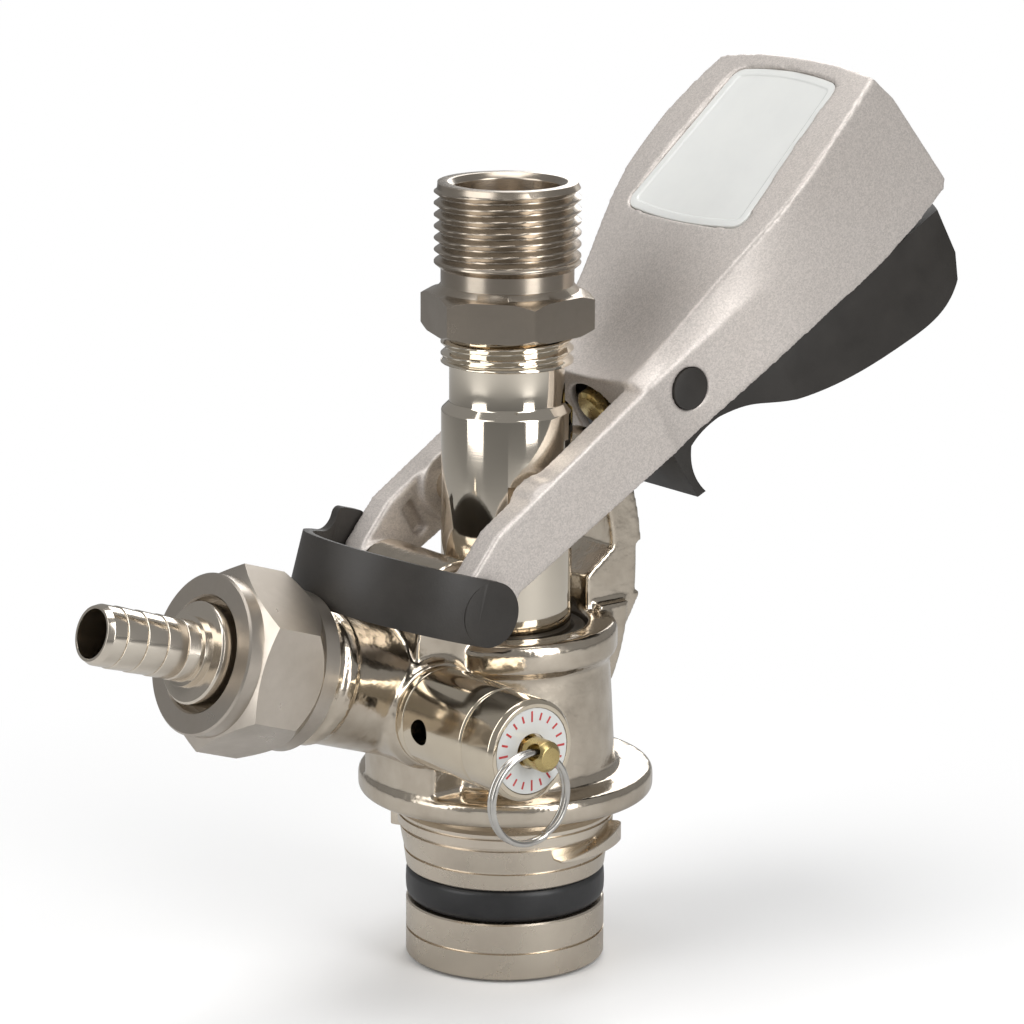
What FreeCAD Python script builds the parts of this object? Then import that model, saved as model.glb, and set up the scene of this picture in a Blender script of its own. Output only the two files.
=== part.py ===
"""Keg coupler: a neck that locks into a keg valve, a sliding probe and a locking lever.

Millimetres. The origin is on the probe's axis at the lower face of the neck, +Z is up,
+X points to the lever's handle and -X to the gas inlet.
"""
import FreeCAD, Part
import math
import os

V = FreeCAD.Vector
X = V(1, 0, 0)
Y = V(0, 1, 0)
Z = V(0, 0, 1)
ORIGIN = V(0, 0, 0)

# Clearances and small margins
RUNNING = 0.05
SLIDE_GAP = 0.3
LOOSE_GAP = 0.6
OVERRUN = 1.0
EDGE_BREAK = 0.5

# Neck fitting, from its lower face up
NECK_R = 15.9
NECK_FOOT_TOP = 9.2
NECK_LINE_Z = 4.4
LINE_W = 0.5
LINE_DEPTH = 0.3
O_RING_H = 5.3
O_RING_DEPTH = 3.2
O_RING_PROUD = 0.0
O_RING_SHOULDER = 0.75
NECK_LAND = 0.9
NECK_CONE_H = 5.9
NECK_COLLAR_R = 17.25
NECK_COLLAR_H = 3.3
NECK_THROAT_R = 15.0
NECK_THREAD_R = 14.4
NECK_THREAD_L = 5.6
NECK_BORE_LOW_R = 9.8
NECK_BORE_R = 11.3
NECK_BORE_STEP_Z = 19.0
KEG_SEAL_R = 12.8
KEG_SEAL_H = 4.2
KEG_SEAL_LIP = 0.7

# Locking lugs on the neck
LUG_R = 18.9
LUG_Z = 19.6
LUG_RISE = 3.0
LUG_SPAN = 52.5
LUG_START = -100.0
LUG_COUNT = 2

# Body casting
FLANGE_Z = 27.3
FLANGE_R = 23.5
FLANGE_T = 3.9
FLANGE_EDGE = 1.1
TUBE_R_LOW = 17.4
TUBE_R_TOP = 16.5
TUBE_TOP_Z = 49.2
RIM_R = 17.7
RIM_TOP_Z = 55.0
CHAMBER_R = 13.2
CHAMBER_TOP_Z = 46.2
GLAND_R = 12.9
SHELF_T = 1.4
PROBE_SEAL_H = 3.0
GLAND_TOP_Z = 54.0
WEB_HALF = 9.0

# Lever hinge and its block on the casting
PIVOT_X = -16.75
PIVOT_Z = 62.0
PIN_R = 3.5
BARREL_R = 6.5
BLOCK_HALF = 9.4
BLOCK_BACK_X = -24.4
BLOCK_FRONT_X = -14.6
BLOCK_FOOT_Z = 44.0

# Locking rail behind the probe, arcs about the lever's pivot
RAIL_R = 40.75
RAIL_W = 5.9
RAIL_HALF = 4.5
RAIL_TOP_DEG = 31.0
NOTCH_TOP_DEG = 4.1
NOTCH_LOW_DEG = -7.3
NOTCH_DEPTH = 1.0
RAIL_LOW_DEG = -8.4
RAIL_FOOT_X = 17.0
RAIL_FOOT_Z = 45.4
RAIL_KNEE_Z = 60.7

# Gas inlet, along an axis that rises away from the body
GAS_RISE_DEG = 18.2
GAS_AXIS_Z = 39.6
GAS_ARM_R = 10.3
GAS_COLLAR_W = 2.4
GAS_COLLAR_R = 10.9
GAS_THREAD_R = 10.48
GAS_BORE_R = 4.2
CHECK_R = 6.4
CHECK_FLANGE_R = 8.2
CHECK_FLANGE_T = 2.0
GAS_WASHER_T = 1.4
TAIL_FLANGE_R = 9.9
TAIL_FLANGE_T = 3.0
NUT_AF = 25.4
NUT_BEHIND_ARM_END = 9.6
NUT_PAST_ARM_END = 7.7
NUT_HOLE_R = 8.8
NUT_FACE_R = 12.1
NUT_SKIRT_R = 12.4
NUT_FRONT_SKIRT = 2.6
NUT_FRONT_CONE = 1.2
NUT_REAR_SKIRT = 2.9
NUT_REAR_CONE = 3.0
TAIL_COLLAR_R = 7.85
TAIL_COLLAR_OUT = 1.6
TAIL_STEP_R = 5.4
TAIL_STEP_L = 1.4
BARB_ROOT_R = 4.25
BARB_TIP_R = 4.7
BARB_PITCH = 3.7
BARB_COUNT = 4
TAIL_BORE_R = 3.75

# Relief valve on the side of the gas arm, along -Y
RELIEF_X = -21.4
RELIEF_Z = 45.2
RELIEF_BOSS_R = 8.9
RELIEF_BOSS_Y = 9.8
RELIEF_LAND_R = 8.3
RELIEF_LAND_W = 0.9
RELIEF_R = 7.9
RELIEF_JOINT_Y = 27.0
RELIEF_FACE_Y = 34.5
RELIEF_CAP_T = 2.6
RELIEF_BORE_R = 6.2
RELIEF_PORT_R = 2.6
RELIEF_SEAT_Y = 13.2
RELIEF_SPIGOT_R = 5.6
RELIEF_SPIGOT_L = 3.4
RELIEF_SEAL_R = 4.6
RELIEF_SEAL_T = 1.6
RELIEF_HEAD_R = 4.8
RELIEF_HEAD_T = 1.8
RELIEF_STEM_R = 1.5
RELIEF_VENT_R = 2.0
RELIEF_VENT_Y = 18.0
LABEL_R = 6.6
LABEL_T = 0.4
KNOB_R = 2.6
KNOB_L = 4.8
KNOB_HOLE_R = 1.45
KNOB_HOLE_Y = 2.7
SPRING_WIRE_R = 0.45
SPRING_MEAN_R = 3.6
PULL_RING_R = 7.35
PULL_WIRE_R = 0.42
PULL_HANG_DEG = 24.0

# Probe, its outlet and its check ball
PROBE_R = 10.3
PROBE_LOW_R = 8.0
PROBE_TIP_Z = 1.2
PROBE_SHOULDER_Z = 35.0
PROBE_TOP_Z = 88.9
PROBE_CHAMFER = 1.25
PROBE_NECK_Z = 96.3
PROBE_THREAD_R = 10.4
PROBE_END_Z = 106.4
PROBE_BORE_R = 5.2
TIP_SEAL_Z = 4.4
TIP_SEAL_H = 2.4
TIP_SEAL_R = 8.3
BALL_R = 5.9
BALL_LIFT = 1.6
BALL_CHAMBER_R = 6.9
BALL_SEAT_Z = 92.6
RETAINER_R = 8.1
RETAINER_T = 1.6
HEX_AF = 24.0
HEX_Z = 101.3
HEX_H = 6.2
HEX_TURN_DEG = 10.7
WASHER_T = 1.0
OUTLET_NECK_R = 10.4
OUTLET_NECK_Z = 108.8
OUTLET_THREAD_Z = 112.1
OUTLET_THREAD_R = 11.45
OUTLET_TOP_Z = 124.7
OUTLET_BORE_R = 8.35
OUTLET_STEP_R = 6.2
OUTLET_STEP_Z = 117.5

# Lever, in its own frame: u along the arms from the pivot, v square to them
LEVER_REST_DEG = 30.2
ARM_OUT_Y = 16.5
ARM_T = 4.7
ARM_END_R = 5.3
ARM_LOW_V = -1.8
ARM_CREST_U = 8.0
ARM_CREST_V = 8.8
ROOT_U = RAIL_R + 1.25
ROOT_CREST_V = 10.8
ROOT_TOP_V = 11.8
BOSS_Y = 9.8
DRIVE_U = 18.8
DRIVE_V = 4.2
DRIVE_PIN_R = 3.0
DRIVE_BOSS_R = 5.7
DRIVE_BOSS_Y = 10.9
DRIVE_BITE = 1.7
DRIVE_SWING = 0.45
DRIVE_STEP = 0.6
DRIVE_END_Y = 14.0
ROOT_WALL = 1.7
HANDLE_L = 69.2
HANDLE_BOW_R = 78.0
HANDLE_END_U = ROOT_U + HANDLE_L
SHELL_END_U = HANDLE_END_U - 4.4
TRUNNION_U = ROOT_U + 8.0
TRUNNION_V = 5.4
TRUNNION_R = 3.35
TRIGGER_HALF = 11.2
TRIGGER_REAR_HALF = 14.6
TRIGGER_WALL = 2.2
TRIGGER_STEP = 0.8
TRIGGER_END_U = HANDLE_END_U - 6.9
TRIGGER_FRONT_U = ROOT_U + 2.7
TRIGGER_LID_V = 2.6
TRIGGER_SPLIT_V = -1.6
PLUNGER_R = 3.0
PLUNGER_V = 4.5
PLUNGER_L = 16.0
LATCH_CLEAR = 0.3
GUIDE_HALF = 5.0
GUIDE_START_U = ROOT_U + 6.8
GUIDE_L = 8.0
WINDOW_R = 6.2
WINDOW_V = 2.5
DOWEL_R = 1.25
DOWEL_END_V = -6.2
DOWEL_U = ROOT_U + 4.4
LATCH_STOP_U = ROOT_U + 25.5
LATCH_STOP_T = 2.4
LATCH_WIRE_R = 0.4
LATCH_MEAN_R = 2.1
LATCH_SPRING_GAP = 0.6
BADGE_T = 1.2
BADGE_SINK = 0.4
BADGE_GAP = 0.1

# Strap that clips over the two ends of the hinge pin
STRAP_TILT_DEG = 17.0
STRAP_T = 1.6
STRAP_HALF_H = 5.1
STRAP_BOW_AT = 2.0
STRAP_STUB_R = 1.8
STRAP_STUB_L = 2.0
STRAP_LUG_H = 9.3
STRAP_LUG_HALF = 3.0
STRAP_LUG_BACK = 2.1
STRAP_LUG_ROUND = 1.3
STRAP_LUG_FILLET = 2.8
STRAP_REACH = STRAP_BOW_AT + ARM_OUT_Y + SLIDE_GAP + STRAP_T - PIVOT_X

# Lengths along the gas inlet; the nut stays clear behind the strap
NUT_TO_STRAP = 6.25
NUT_START = STRAP_REACH + NUT_TO_STRAP
GAS_ARM_L = NUT_START + NUT_BEHIND_ARM_END
NUT_END = GAS_ARM_L + NUT_PAST_ARM_END
GAS_COLLAR_AT = GAS_ARM_L - 14.5
CHECK_AT = GAS_ARM_L - 17.0


def pt(x, z):
    """A point in the XZ plane."""
    return V(x, 0, z)


def outline(start, *steps):
    """Closed wire in the XZ plane. A step is an end point, or (middle, end) for an arc."""
    edges = []
    here = pt(*start)
    for step in steps + (start,):
        if isinstance(step[0], tuple):
            end = pt(*step[1])
            edges.append(Part.Arc(here, pt(*step[0]), end).toShape())
        else:
            end = pt(*step)
            if (end - here).Length < 1e-6:
                continue
            edges.append(Part.LineSegment(here, end).toShape())
        here = end
    return Part.Wire(edges)


def turned(start, *steps):
    """Solid of revolution about Z from an (r, z) outline."""
    return Part.Face(outline(start, *steps)).revolve(ORIGIN, Z, 360)


def plate(half, start, *steps):
    """Solid from an XZ outline, reaching half to each side of the y = 0 plane."""
    face = Part.Face(outline(start, *steps))
    face.translate(V(0, -half, 0))
    return face.extrude(V(0, 2 * half, 0))


def rod(r, z0, z1):
    """Cylinder about Z from z0 to z1."""
    return Part.makeCylinder(r, z1 - z0, V(0, 0, z0))


def tube(r_out, r_in, z0, z1):
    """Pipe about Z from z0 to z1."""
    return rod(r_out, z0, z1).cut(rod(r_in, z0 - OVERRUN, z1 + OVERRUN))


def block(x0, x1, y0, y1, z0, z1):
    """Box between two corners."""
    return Part.makeBox(x1 - x0, y1 - y0, z1 - z0, V(x0, y0, z0))


def hexagon(across_flats, z0, z1, turn_deg=0.0):
    """Hexagonal prism about Z."""
    corner_r = across_flats / math.sqrt(3)
    corners = []
    for index in range(7):
        angle = math.radians(turn_deg + 60 * index)
        corners.append(V(corner_r * math.cos(angle), corner_r * math.sin(angle), z0))
    return Part.Face(Part.makePolygon(corners)).extrude(V(0, 0, z1 - z0))


def joined(*shapes):
    """One shape from several that touch or overlap."""
    result = shapes[0].fuse(list(shapes[1:]))
    return result.removeSplitter()


def along(shape, base, direction):
    """Moves a shape that stands on the origin along Z so that it runs from base along direction."""
    copy = shape.copy()
    place = FreeCAD.Placement(base, FreeCAD.Rotation(Z, direction))
    copy.Placement = place.multiply(shape.Placement)
    return copy


def mirrored_y(shape):
    """Mirror image across the y = 0 plane."""
    return shape.mirror(ORIGIN, Y)


PIVOT = V(PIVOT_X, 0, PIVOT_Z)
GAS_BASE = V(0, 0, GAS_AXIS_Z)
GAS_DIR = V(-math.cos(math.radians(GAS_RISE_DEG)), 0, math.sin(math.radians(GAS_RISE_DEG)))
RELIEF_BASE = V(RELIEF_X, 0, RELIEF_Z)
RELIEF_DIR = V(0, -1, 0)


def on_gas_axis(shape):
    """Places a shape drawn about Z on the gas inlet's axis, z being the distance out."""
    return along(shape, GAS_BASE, GAS_DIR)


def on_relief_axis(shape):
    """Places a shape drawn about Z on the relief valve's axis, z being the distance out."""
    return along(shape, RELIEF_BASE, RELIEF_DIR)


def on_lever(shape):
    """Places a shape drawn in the lever's own frame (x = u, z = v) at the lever's rest angle."""
    copy = shape.copy()
    copy.rotate(ORIGIN, Y, -LEVER_REST_DEG)
    copy.translate(PIVOT)
    return copy


def across(r, y0, y1, x=0.0, z=0.0):
    """Cylinder along Y from y0 to y1."""
    return Part.makeCylinder(r, y1 - y0, V(x, y0, z), Y)


def polar(r, deg):
    """(x, z) at a radius and angle about the lever's pivot."""
    angle = math.radians(deg)
    return (PIVOT_X + r * math.cos(angle), PIVOT_Z + r * math.sin(angle))


# Neck and its seals

O_RING_Z = NECK_FOOT_TOP
O_RING_TOP = O_RING_Z + O_RING_H + 0.2
NECK_CONE_Z = O_RING_TOP + NECK_LAND
NECK_COLLAR_Z = NECK_CONE_Z + NECK_CONE_H
NECK_COLLAR_TOP = NECK_COLLAR_Z + NECK_COLLAR_H
NECK_TOP_Z = FLANGE_Z + NECK_THREAD_L
O_RING_FLOOR_R = NECK_R + O_RING_PROUD - O_RING_DEPTH


def lock_lug(index):
    """One bayonet lug: a ring sector whose top rises like a wedge."""
    start = LUG_START + index * 360.0 / LUG_COUNT
    section = Part.makePolygon([
        V(NECK_BORE_R + OVERRUN, 0, LUG_Z), V(LUG_R, 0, LUG_Z),
        V(LUG_R, 0, LUG_Z + LUG_RISE), V(NECK_BORE_R + OVERRUN, 0, LUG_Z + LUG_RISE),
        V(NECK_BORE_R + OVERRUN, 0, LUG_Z)])
    lug = Part.Face(section).revolve(ORIGIN, Z, LUG_SPAN)
    reach = LUG_R * math.sin(math.radians(LUG_SPAN / 2))
    slope = math.degrees(math.atan2(LUG_RISE, 2 * reach))
    above = block(0, 2 * LUG_R, -2 * LUG_R, 2 * LUG_R, 0, 2 * LUG_R)
    above.rotate(ORIGIN, X, slope)
    above.translate(V(0, 0, LUG_Z + LUG_RISE / 2))
    above.rotate(ORIGIN, Z, LUG_SPAN / 2)
    lug = lug.cut(above)
    lug.rotate(ORIGIN, Z, start)
    return lug


def neck_fitting():
    """Turned neck: foot, seal groove, cone, lugs, throat and the thread into the body."""
    body = turned(
        (0, 0), (NECK_R - EDGE_BREAK, 0), (NECK_R, EDGE_BREAK),
        (NECK_R, NECK_LINE_Z - LINE_W / 2), (NECK_R - LINE_DEPTH, NECK_LINE_Z),
        (NECK_R, NECK_LINE_Z + LINE_W / 2), (NECK_R, O_RING_Z),
        (O_RING_FLOOR_R, O_RING_Z), (O_RING_FLOOR_R, O_RING_TOP), (NECK_R, O_RING_TOP),
        (NECK_R, NECK_CONE_Z), (NECK_COLLAR_R - LINE_DEPTH, NECK_COLLAR_Z),
        (NECK_COLLAR_R, NECK_COLLAR_Z + LINE_DEPTH),
        (NECK_COLLAR_R, NECK_COLLAR_TOP - EDGE_BREAK),
        (NECK_COLLAR_R - EDGE_BREAK, NECK_COLLAR_TOP), (NECK_THROAT_R, NECK_COLLAR_TOP),
        (NECK_THROAT_R, FLANGE_Z), (NECK_THREAD_R, FLANGE_Z), (NECK_THREAD_R, NECK_TOP_Z),
        (0, NECK_TOP_Z))
    lugs = [lock_lug(index) for index in range(LUG_COUNT)]
    bore = turned(
        (0, -OVERRUN), (KEG_SEAL_R, -OVERRUN), (KEG_SEAL_R, KEG_SEAL_H),
        (NECK_BORE_LOW_R, KEG_SEAL_H), (NECK_BORE_LOW_R, NECK_BORE_STEP_Z),
        (NECK_BORE_R, NECK_BORE_STEP_Z + NECK_BORE_R - NECK_BORE_LOW_R),
        (NECK_BORE_R, NECK_TOP_Z + OVERRUN), (0, NECK_TOP_Z + OVERRUN))
    return joined(body, *lugs).cut(bore)


def neck_o_ring():
    """Thick seal in the neck's groove, with a round outer side."""
    low = O_RING_Z + 0.1
    top = low + O_RING_H
    shoulder = O_RING_FLOOR_R + O_RING_DEPTH * O_RING_SHOULDER
    return turned(
        (O_RING_FLOOR_R, low), (shoulder, low),
        ((O_RING_FLOOR_R + O_RING_DEPTH, (low + top) / 2), (shoulder, top)),
        (O_RING_FLOOR_R, top))


def keg_seal():
    """Seal in the neck's mouth that presses on the keg valve, with a lip round the probe."""
    inner = PROBE_LOW_R + LOOSE_GAP
    return turned(
        (inner, KEG_SEAL_LIP), (inner + KEG_SEAL_LIP, 0), (KEG_SEAL_R - EDGE_BREAK, 0),
        (KEG_SEAL_R, EDGE_BREAK), (KEG_SEAL_R, KEG_SEAL_H), (inner + KEG_SEAL_LIP, KEG_SEAL_H),
        (inner, KEG_SEAL_H - KEG_SEAL_LIP))


# Body casting and what is fixed in its top

GLAND_SEAT_Z = CHAMBER_TOP_Z + SHELF_T
GUIDE_Z = GLAND_SEAT_Z + PROBE_SEAL_H


def body_shell():
    """Flange, tapered tube and rolled rim, as one turned form."""
    flange_top = FLANGE_Z + FLANGE_T
    fillet = 1.4
    roll = 1.5
    edge_far = FLANGE_R - FLANGE_EDGE * (1 - math.sqrt(0.5))
    edge_near = FLANGE_EDGE * (1 - math.sqrt(0.5))
    return turned(
        (0, FLANGE_Z), (FLANGE_R - FLANGE_EDGE, FLANGE_Z),
        ((edge_far, FLANGE_Z + edge_near), (FLANGE_R, FLANGE_Z + FLANGE_EDGE)),
        (FLANGE_R, flange_top - FLANGE_EDGE),
        ((edge_far, flange_top - edge_near), (FLANGE_R - FLANGE_EDGE, flange_top)),
        (TUBE_R_LOW + fillet, flange_top),
        ((TUBE_R_LOW + fillet * 0.3, flange_top + fillet * 0.3), (TUBE_R_LOW, flange_top + fillet)),
        (TUBE_R_TOP, TUBE_TOP_Z), (RIM_R, TUBE_TOP_Z + roll), (RIM_R, RIM_TOP_Z - roll),
        ((RIM_R - roll * 0.3, RIM_TOP_Z - roll * 0.3), (RIM_R - roll, RIM_TOP_Z)),
        (0, RIM_TOP_Z))


def gas_arm():
    """Round arm of the casting for the gas, with its collar ring and threaded end."""
    return on_gas_axis(turned(
        (0, 0), (GAS_ARM_R, 0), (GAS_ARM_R, GAS_COLLAR_AT), (GAS_COLLAR_R, GAS_COLLAR_AT + 0.3),
        (GAS_COLLAR_R, GAS_COLLAR_AT + GAS_COLLAR_W - 0.3),
        (GAS_THREAD_R, GAS_COLLAR_AT + GAS_COLLAR_W),
        (GAS_THREAD_R, GAS_ARM_L - EDGE_BREAK), (GAS_THREAD_R - EDGE_BREAK, GAS_ARM_L),
        (0, GAS_ARM_L)))


def arm_web():
    """Block that fills the space between the flange and the gas arm."""
    slope = math.tan(math.radians(GAS_RISE_DEG))
    fill = plate(
        WEB_HALF, (0, FLANGE_Z + FLANGE_T / 2), (-FLANGE_R, FLANGE_Z + FLANGE_T / 2),
        (-FLANGE_R, GAS_AXIS_Z + FLANGE_R * slope), (0, GAS_AXIS_Z))
    return fill.common(rod(FLANGE_R - EDGE_BREAK, FLANGE_Z, RIM_TOP_Z))


def relief_boss():
    """Side branch of the casting that takes the relief valve, with its machined land."""
    return on_relief_axis(turned(
        (0, 0), (RELIEF_BOSS_R, 0), (RELIEF_BOSS_R, RELIEF_BOSS_Y - 0.4),
        (RELIEF_BOSS_R - 0.4, RELIEF_BOSS_Y), (RELIEF_LAND_R, RELIEF_BOSS_Y),
        (RELIEF_LAND_R, RELIEF_BOSS_Y + RELIEF_LAND_W), (0, RELIEF_BOSS_Y + RELIEF_LAND_W)))


def hinge_block():
    """Upright block that ends in a barrel round the lever's pivot."""
    lean = BARREL_R * math.sqrt(0.5)
    return plate(
        BLOCK_HALF, (BLOCK_FRONT_X, BLOCK_FOOT_Z), (BLOCK_BACK_X, BLOCK_FOOT_Z),
        (BLOCK_BACK_X, PIVOT_Z - BARREL_R), (PIVOT_X - BARREL_R, PIVOT_Z),
        ((PIVOT_X - lean, PIVOT_Z + lean), (PIVOT_X, PIVOT_Z + BARREL_R)),
        ((PIVOT_X + lean, PIVOT_Z + lean), (PIVOT_X + BARREL_R, PIVOT_Z)),
        (PIVOT_X + BARREL_R, RIM_TOP_Z - OVERRUN), (BLOCK_FRONT_X, RIM_TOP_Z - OVERRUN))


def lock_rail():
    """Curved plate behind the probe; a shallow notch in its rear edge locks the lever down."""
    inner_r = RAIL_R - RAIL_W
    bore_x = GLAND_R - 0.1
    knee_deg = math.degrees(math.asin((RAIL_KNEE_Z + 4 - PIVOT_Z) / inner_r))
    rail = plate(
        RAIL_HALF, (RAIL_FOOT_X, RAIL_FOOT_Z),
        ((RAIL_FOOT_X + 3.9, RAIL_FOOT_Z + 6.0), polar(RAIL_R, RAIL_LOW_DEG)),
        polar(RAIL_R, NOTCH_LOW_DEG), polar(RAIL_R - NOTCH_DEPTH, NOTCH_LOW_DEG),
        (polar(RAIL_R - NOTCH_DEPTH, (NOTCH_LOW_DEG + NOTCH_TOP_DEG) / 2),
         polar(RAIL_R - NOTCH_DEPTH, NOTCH_TOP_DEG)),
        polar(RAIL_R, NOTCH_TOP_DEG),
        (polar(RAIL_R, (NOTCH_TOP_DEG + RAIL_TOP_DEG) / 2), polar(RAIL_R, RAIL_TOP_DEG)),
        (polar(RAIL_R - RAIL_W / 2, RAIL_TOP_DEG + 2.5), polar(inner_r, RAIL_TOP_DEG)),
        (polar(inner_r, (RAIL_TOP_DEG + knee_deg) / 2), polar(inner_r, knee_deg)),
        (bore_x, RAIL_KNEE_Z), (bore_x, RAIL_FOOT_Z))
    return rail


def rail_cheek():
    """Thicker foot that blends the rail into the tube."""
    return plate(
        RAIL_HALF + 1.6, (TUBE_R_LOW - 3, RAIL_FOOT_Z - 3), (RAIL_FOOT_X, RAIL_FOOT_Z - 2),
        ((RAIL_FOOT_X + 2.2, RAIL_FOOT_Z + 4.0), (RAIL_FOOT_X + 3.2, RIM_TOP_Z + 1.0)),
        (GLAND_R + 1.2, RIM_TOP_Z + 1.0))


def body_casting():
    """The plated casting: tube with flange, gas arm, relief branch, hinge block and rail."""
    solid = joined(
        body_shell(), gas_arm(), arm_web(), relief_boss(), hinge_block(), lock_rail(),
        rail_cheek())
    thread = rod(NECK_THREAD_R, FLANGE_Z - OVERRUN, NECK_TOP_Z)
    chamber = rod(CHAMBER_R, NECK_TOP_Z, CHAMBER_TOP_Z)
    shelf = rod(PROBE_R + LOOSE_GAP, CHAMBER_TOP_Z, GLAND_SEAT_Z)
    gland = rod(GLAND_R, GLAND_SEAT_Z, RIM_TOP_Z + OVERRUN)
    probe_room = rod(PROBE_R + LOOSE_GAP, RIM_TOP_Z, PIVOT_Z + BARREL_R + OVERRUN)
    pin_bore = across(PIN_R, -BLOCK_HALF - OVERRUN, BLOCK_HALF + OVERRUN, PIVOT_X, PIVOT_Z)
    gas_bore = on_gas_axis(rod(GAS_BORE_R, 0, GAS_ARM_L))
    check_room = on_gas_axis(rod(CHECK_R, CHECK_AT, GAS_ARM_L))
    check_seat = on_gas_axis(rod(CHECK_FLANGE_R, GAS_ARM_L - CHECK_FLANGE_T, GAS_ARM_L + OVERRUN))
    port = on_relief_axis(rod(RELIEF_PORT_R, 0, RELIEF_BOSS_Y))
    spigot = on_relief_axis(rod(RELIEF_SPIGOT_R, RELIEF_BOSS_Y + RELIEF_LAND_W - RELIEF_SPIGOT_L,
                                RELIEF_BOSS_Y + RELIEF_LAND_W + OVERRUN))
    return solid.cut([thread, chamber, shelf, gland, probe_room, pin_bore, gas_bore,
                      check_room, check_seat, port, spigot])


def probe_seal():
    """Seal in the body's top that the probe slides through."""
    low = GLAND_SEAT_Z
    inner = PROBE_R + SLIDE_GAP / 2
    return turned(
        (inner + 0.5, low), (GLAND_R, low), (GLAND_R, low + PROBE_SEAL_H),
        (inner + 0.5, low + PROBE_SEAL_H),
        ((inner, low + PROBE_SEAL_H / 2), (inner + 0.5, low)))


def probe_guide():
    """Guide bush that holds the seal down and carries the probe."""
    inner = PROBE_R + RUNNING
    return turned(
        (inner, GUIDE_Z), (GLAND_R, GUIDE_Z), (GLAND_R, GLAND_TOP_Z - EDGE_BREAK),
        (GLAND_R - EDGE_BREAK, GLAND_TOP_Z), (inner + EDGE_BREAK, GLAND_TOP_Z),
        (inner, GLAND_TOP_Z - EDGE_BREAK))


def hinge_pin():
    """Steel pin through the hinge block and both lever arms, with a hole in each end."""
    end = ARM_OUT_Y + SLIDE_GAP
    pin = across(PIN_R, -end, end, PIVOT_X, PIVOT_Z)
    hole = across(STRAP_STUB_R, end - STRAP_STUB_L, end + OVERRUN, PIVOT_X, PIVOT_Z)
    return pin.cut([hole, mirrored_y(hole)])


def strap_ring(inner, outer, low, high):
    """Half ring behind the hinge, open to the front, between two heights."""
    centre = -STRAP_BOW_AT
    ring = Part.makeCylinder(outer, high - low, V(centre, 0, low))
    ring = ring.fuse(block(centre, 0, -outer, outer, low, high))
    room = Part.makeCylinder(inner, high - low + 2 * OVERRUN, V(centre, 0, low - OVERRUN))
    room = room.fuse(block(centre, outer, -inner, inner, low - OVERRUN, high + OVERRUN))
    front = block(0, outer + OVERRUN, -outer - OVERRUN, outer + OVERRUN, low - OVERRUN,
                  high + OVERRUN)
    return ring.cut([room, front])


def strap_lug_side():
    """Side view of the strap's thumb lug, with a hollow curve behind it, on the far side."""
    front = -STRAP_BOW_AT - STRAP_LUG_BACK + STRAP_LUG_HALF
    back = front - 2 * STRAP_LUG_HALF
    bend = (1 - math.sqrt(0.5)) * STRAP_LUG_ROUND
    sweep = (1 - math.sqrt(0.5)) * STRAP_LUG_FILLET
    shoulder = STRAP_LUG_H - STRAP_LUG_ROUND
    foot = STRAP_HALF_H + STRAP_LUG_FILLET
    face = Part.Face(outline(
        (front, 0), (front, shoulder),
        ((front - bend, STRAP_LUG_H - bend), (front - STRAP_LUG_ROUND, STRAP_LUG_H)),
        (back + STRAP_LUG_ROUND, STRAP_LUG_H), ((back + bend, STRAP_LUG_H - bend), (back, shoulder)),
        (back, foot), ((back - sweep, STRAP_HALF_H + sweep), (back - STRAP_LUG_FILLET, STRAP_HALF_H)),
        (back - STRAP_LUG_FILLET, 0)))
    return face.extrude(V(0, 2 * ARM_OUT_Y, 0))


def pin_strap():
    """Plastic strap round the hinge end that snaps over the pin's ends and holds the pin in."""
    inner = ARM_OUT_Y + SLIDE_GAP
    outer = inner + STRAP_T
    band = strap_ring(inner, outer, -STRAP_HALF_H, STRAP_HALF_H)
    lug = strap_ring(inner, outer, 0, STRAP_LUG_H + OVERRUN).common(strap_lug_side())
    end_near = across(STRAP_HALF_H, -outer, -inner)
    end_far = across(STRAP_HALF_H, inner, outer)
    stub_near = across(STRAP_STUB_R - RUNNING, -inner - STRAP_T / 2, -inner + STRAP_STUB_L - 0.2)
    stub_far = mirrored_y(stub_near)
    strap = joined(band, lug, end_near, end_far, stub_near, stub_far)
    strap.rotate(ORIGIN, Y, STRAP_TILT_DEG)
    strap.translate(PIVOT)
    return strap


# Gas inlet fittings

GAS_WASHER_END = GAS_ARM_L + GAS_WASHER_T
TAIL_FLANGE_END = GAS_WASHER_END + TAIL_FLANGE_T


def gas_check_valve():
    """Rubber duckbill that lets gas in and keeps beer out."""
    back = GAS_ARM_L
    front = back - CHECK_FLANGE_T
    nose = front - 9.0
    cup = turned(
        (3.4, back), (CHECK_FLANGE_R, back), (CHECK_FLANGE_R, front), (5.2, front),
        (4.8, front - 2.5), (1.5, nose), (0, nose), (0, nose + 1.4), (3.4, front - 2.5))
    lips = block(-CHECK_R, CHECK_R, -0.15, 0.15, nose - OVERRUN, nose + 2.4)
    return on_gas_axis(cup.cut(lips))


def gas_washer():
    """Flat washer between the arm and the hose tail."""
    return on_gas_axis(tube(TAIL_FLANGE_R, TAIL_BORE_R + 0.6, GAS_ARM_L, GAS_WASHER_END))


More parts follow.
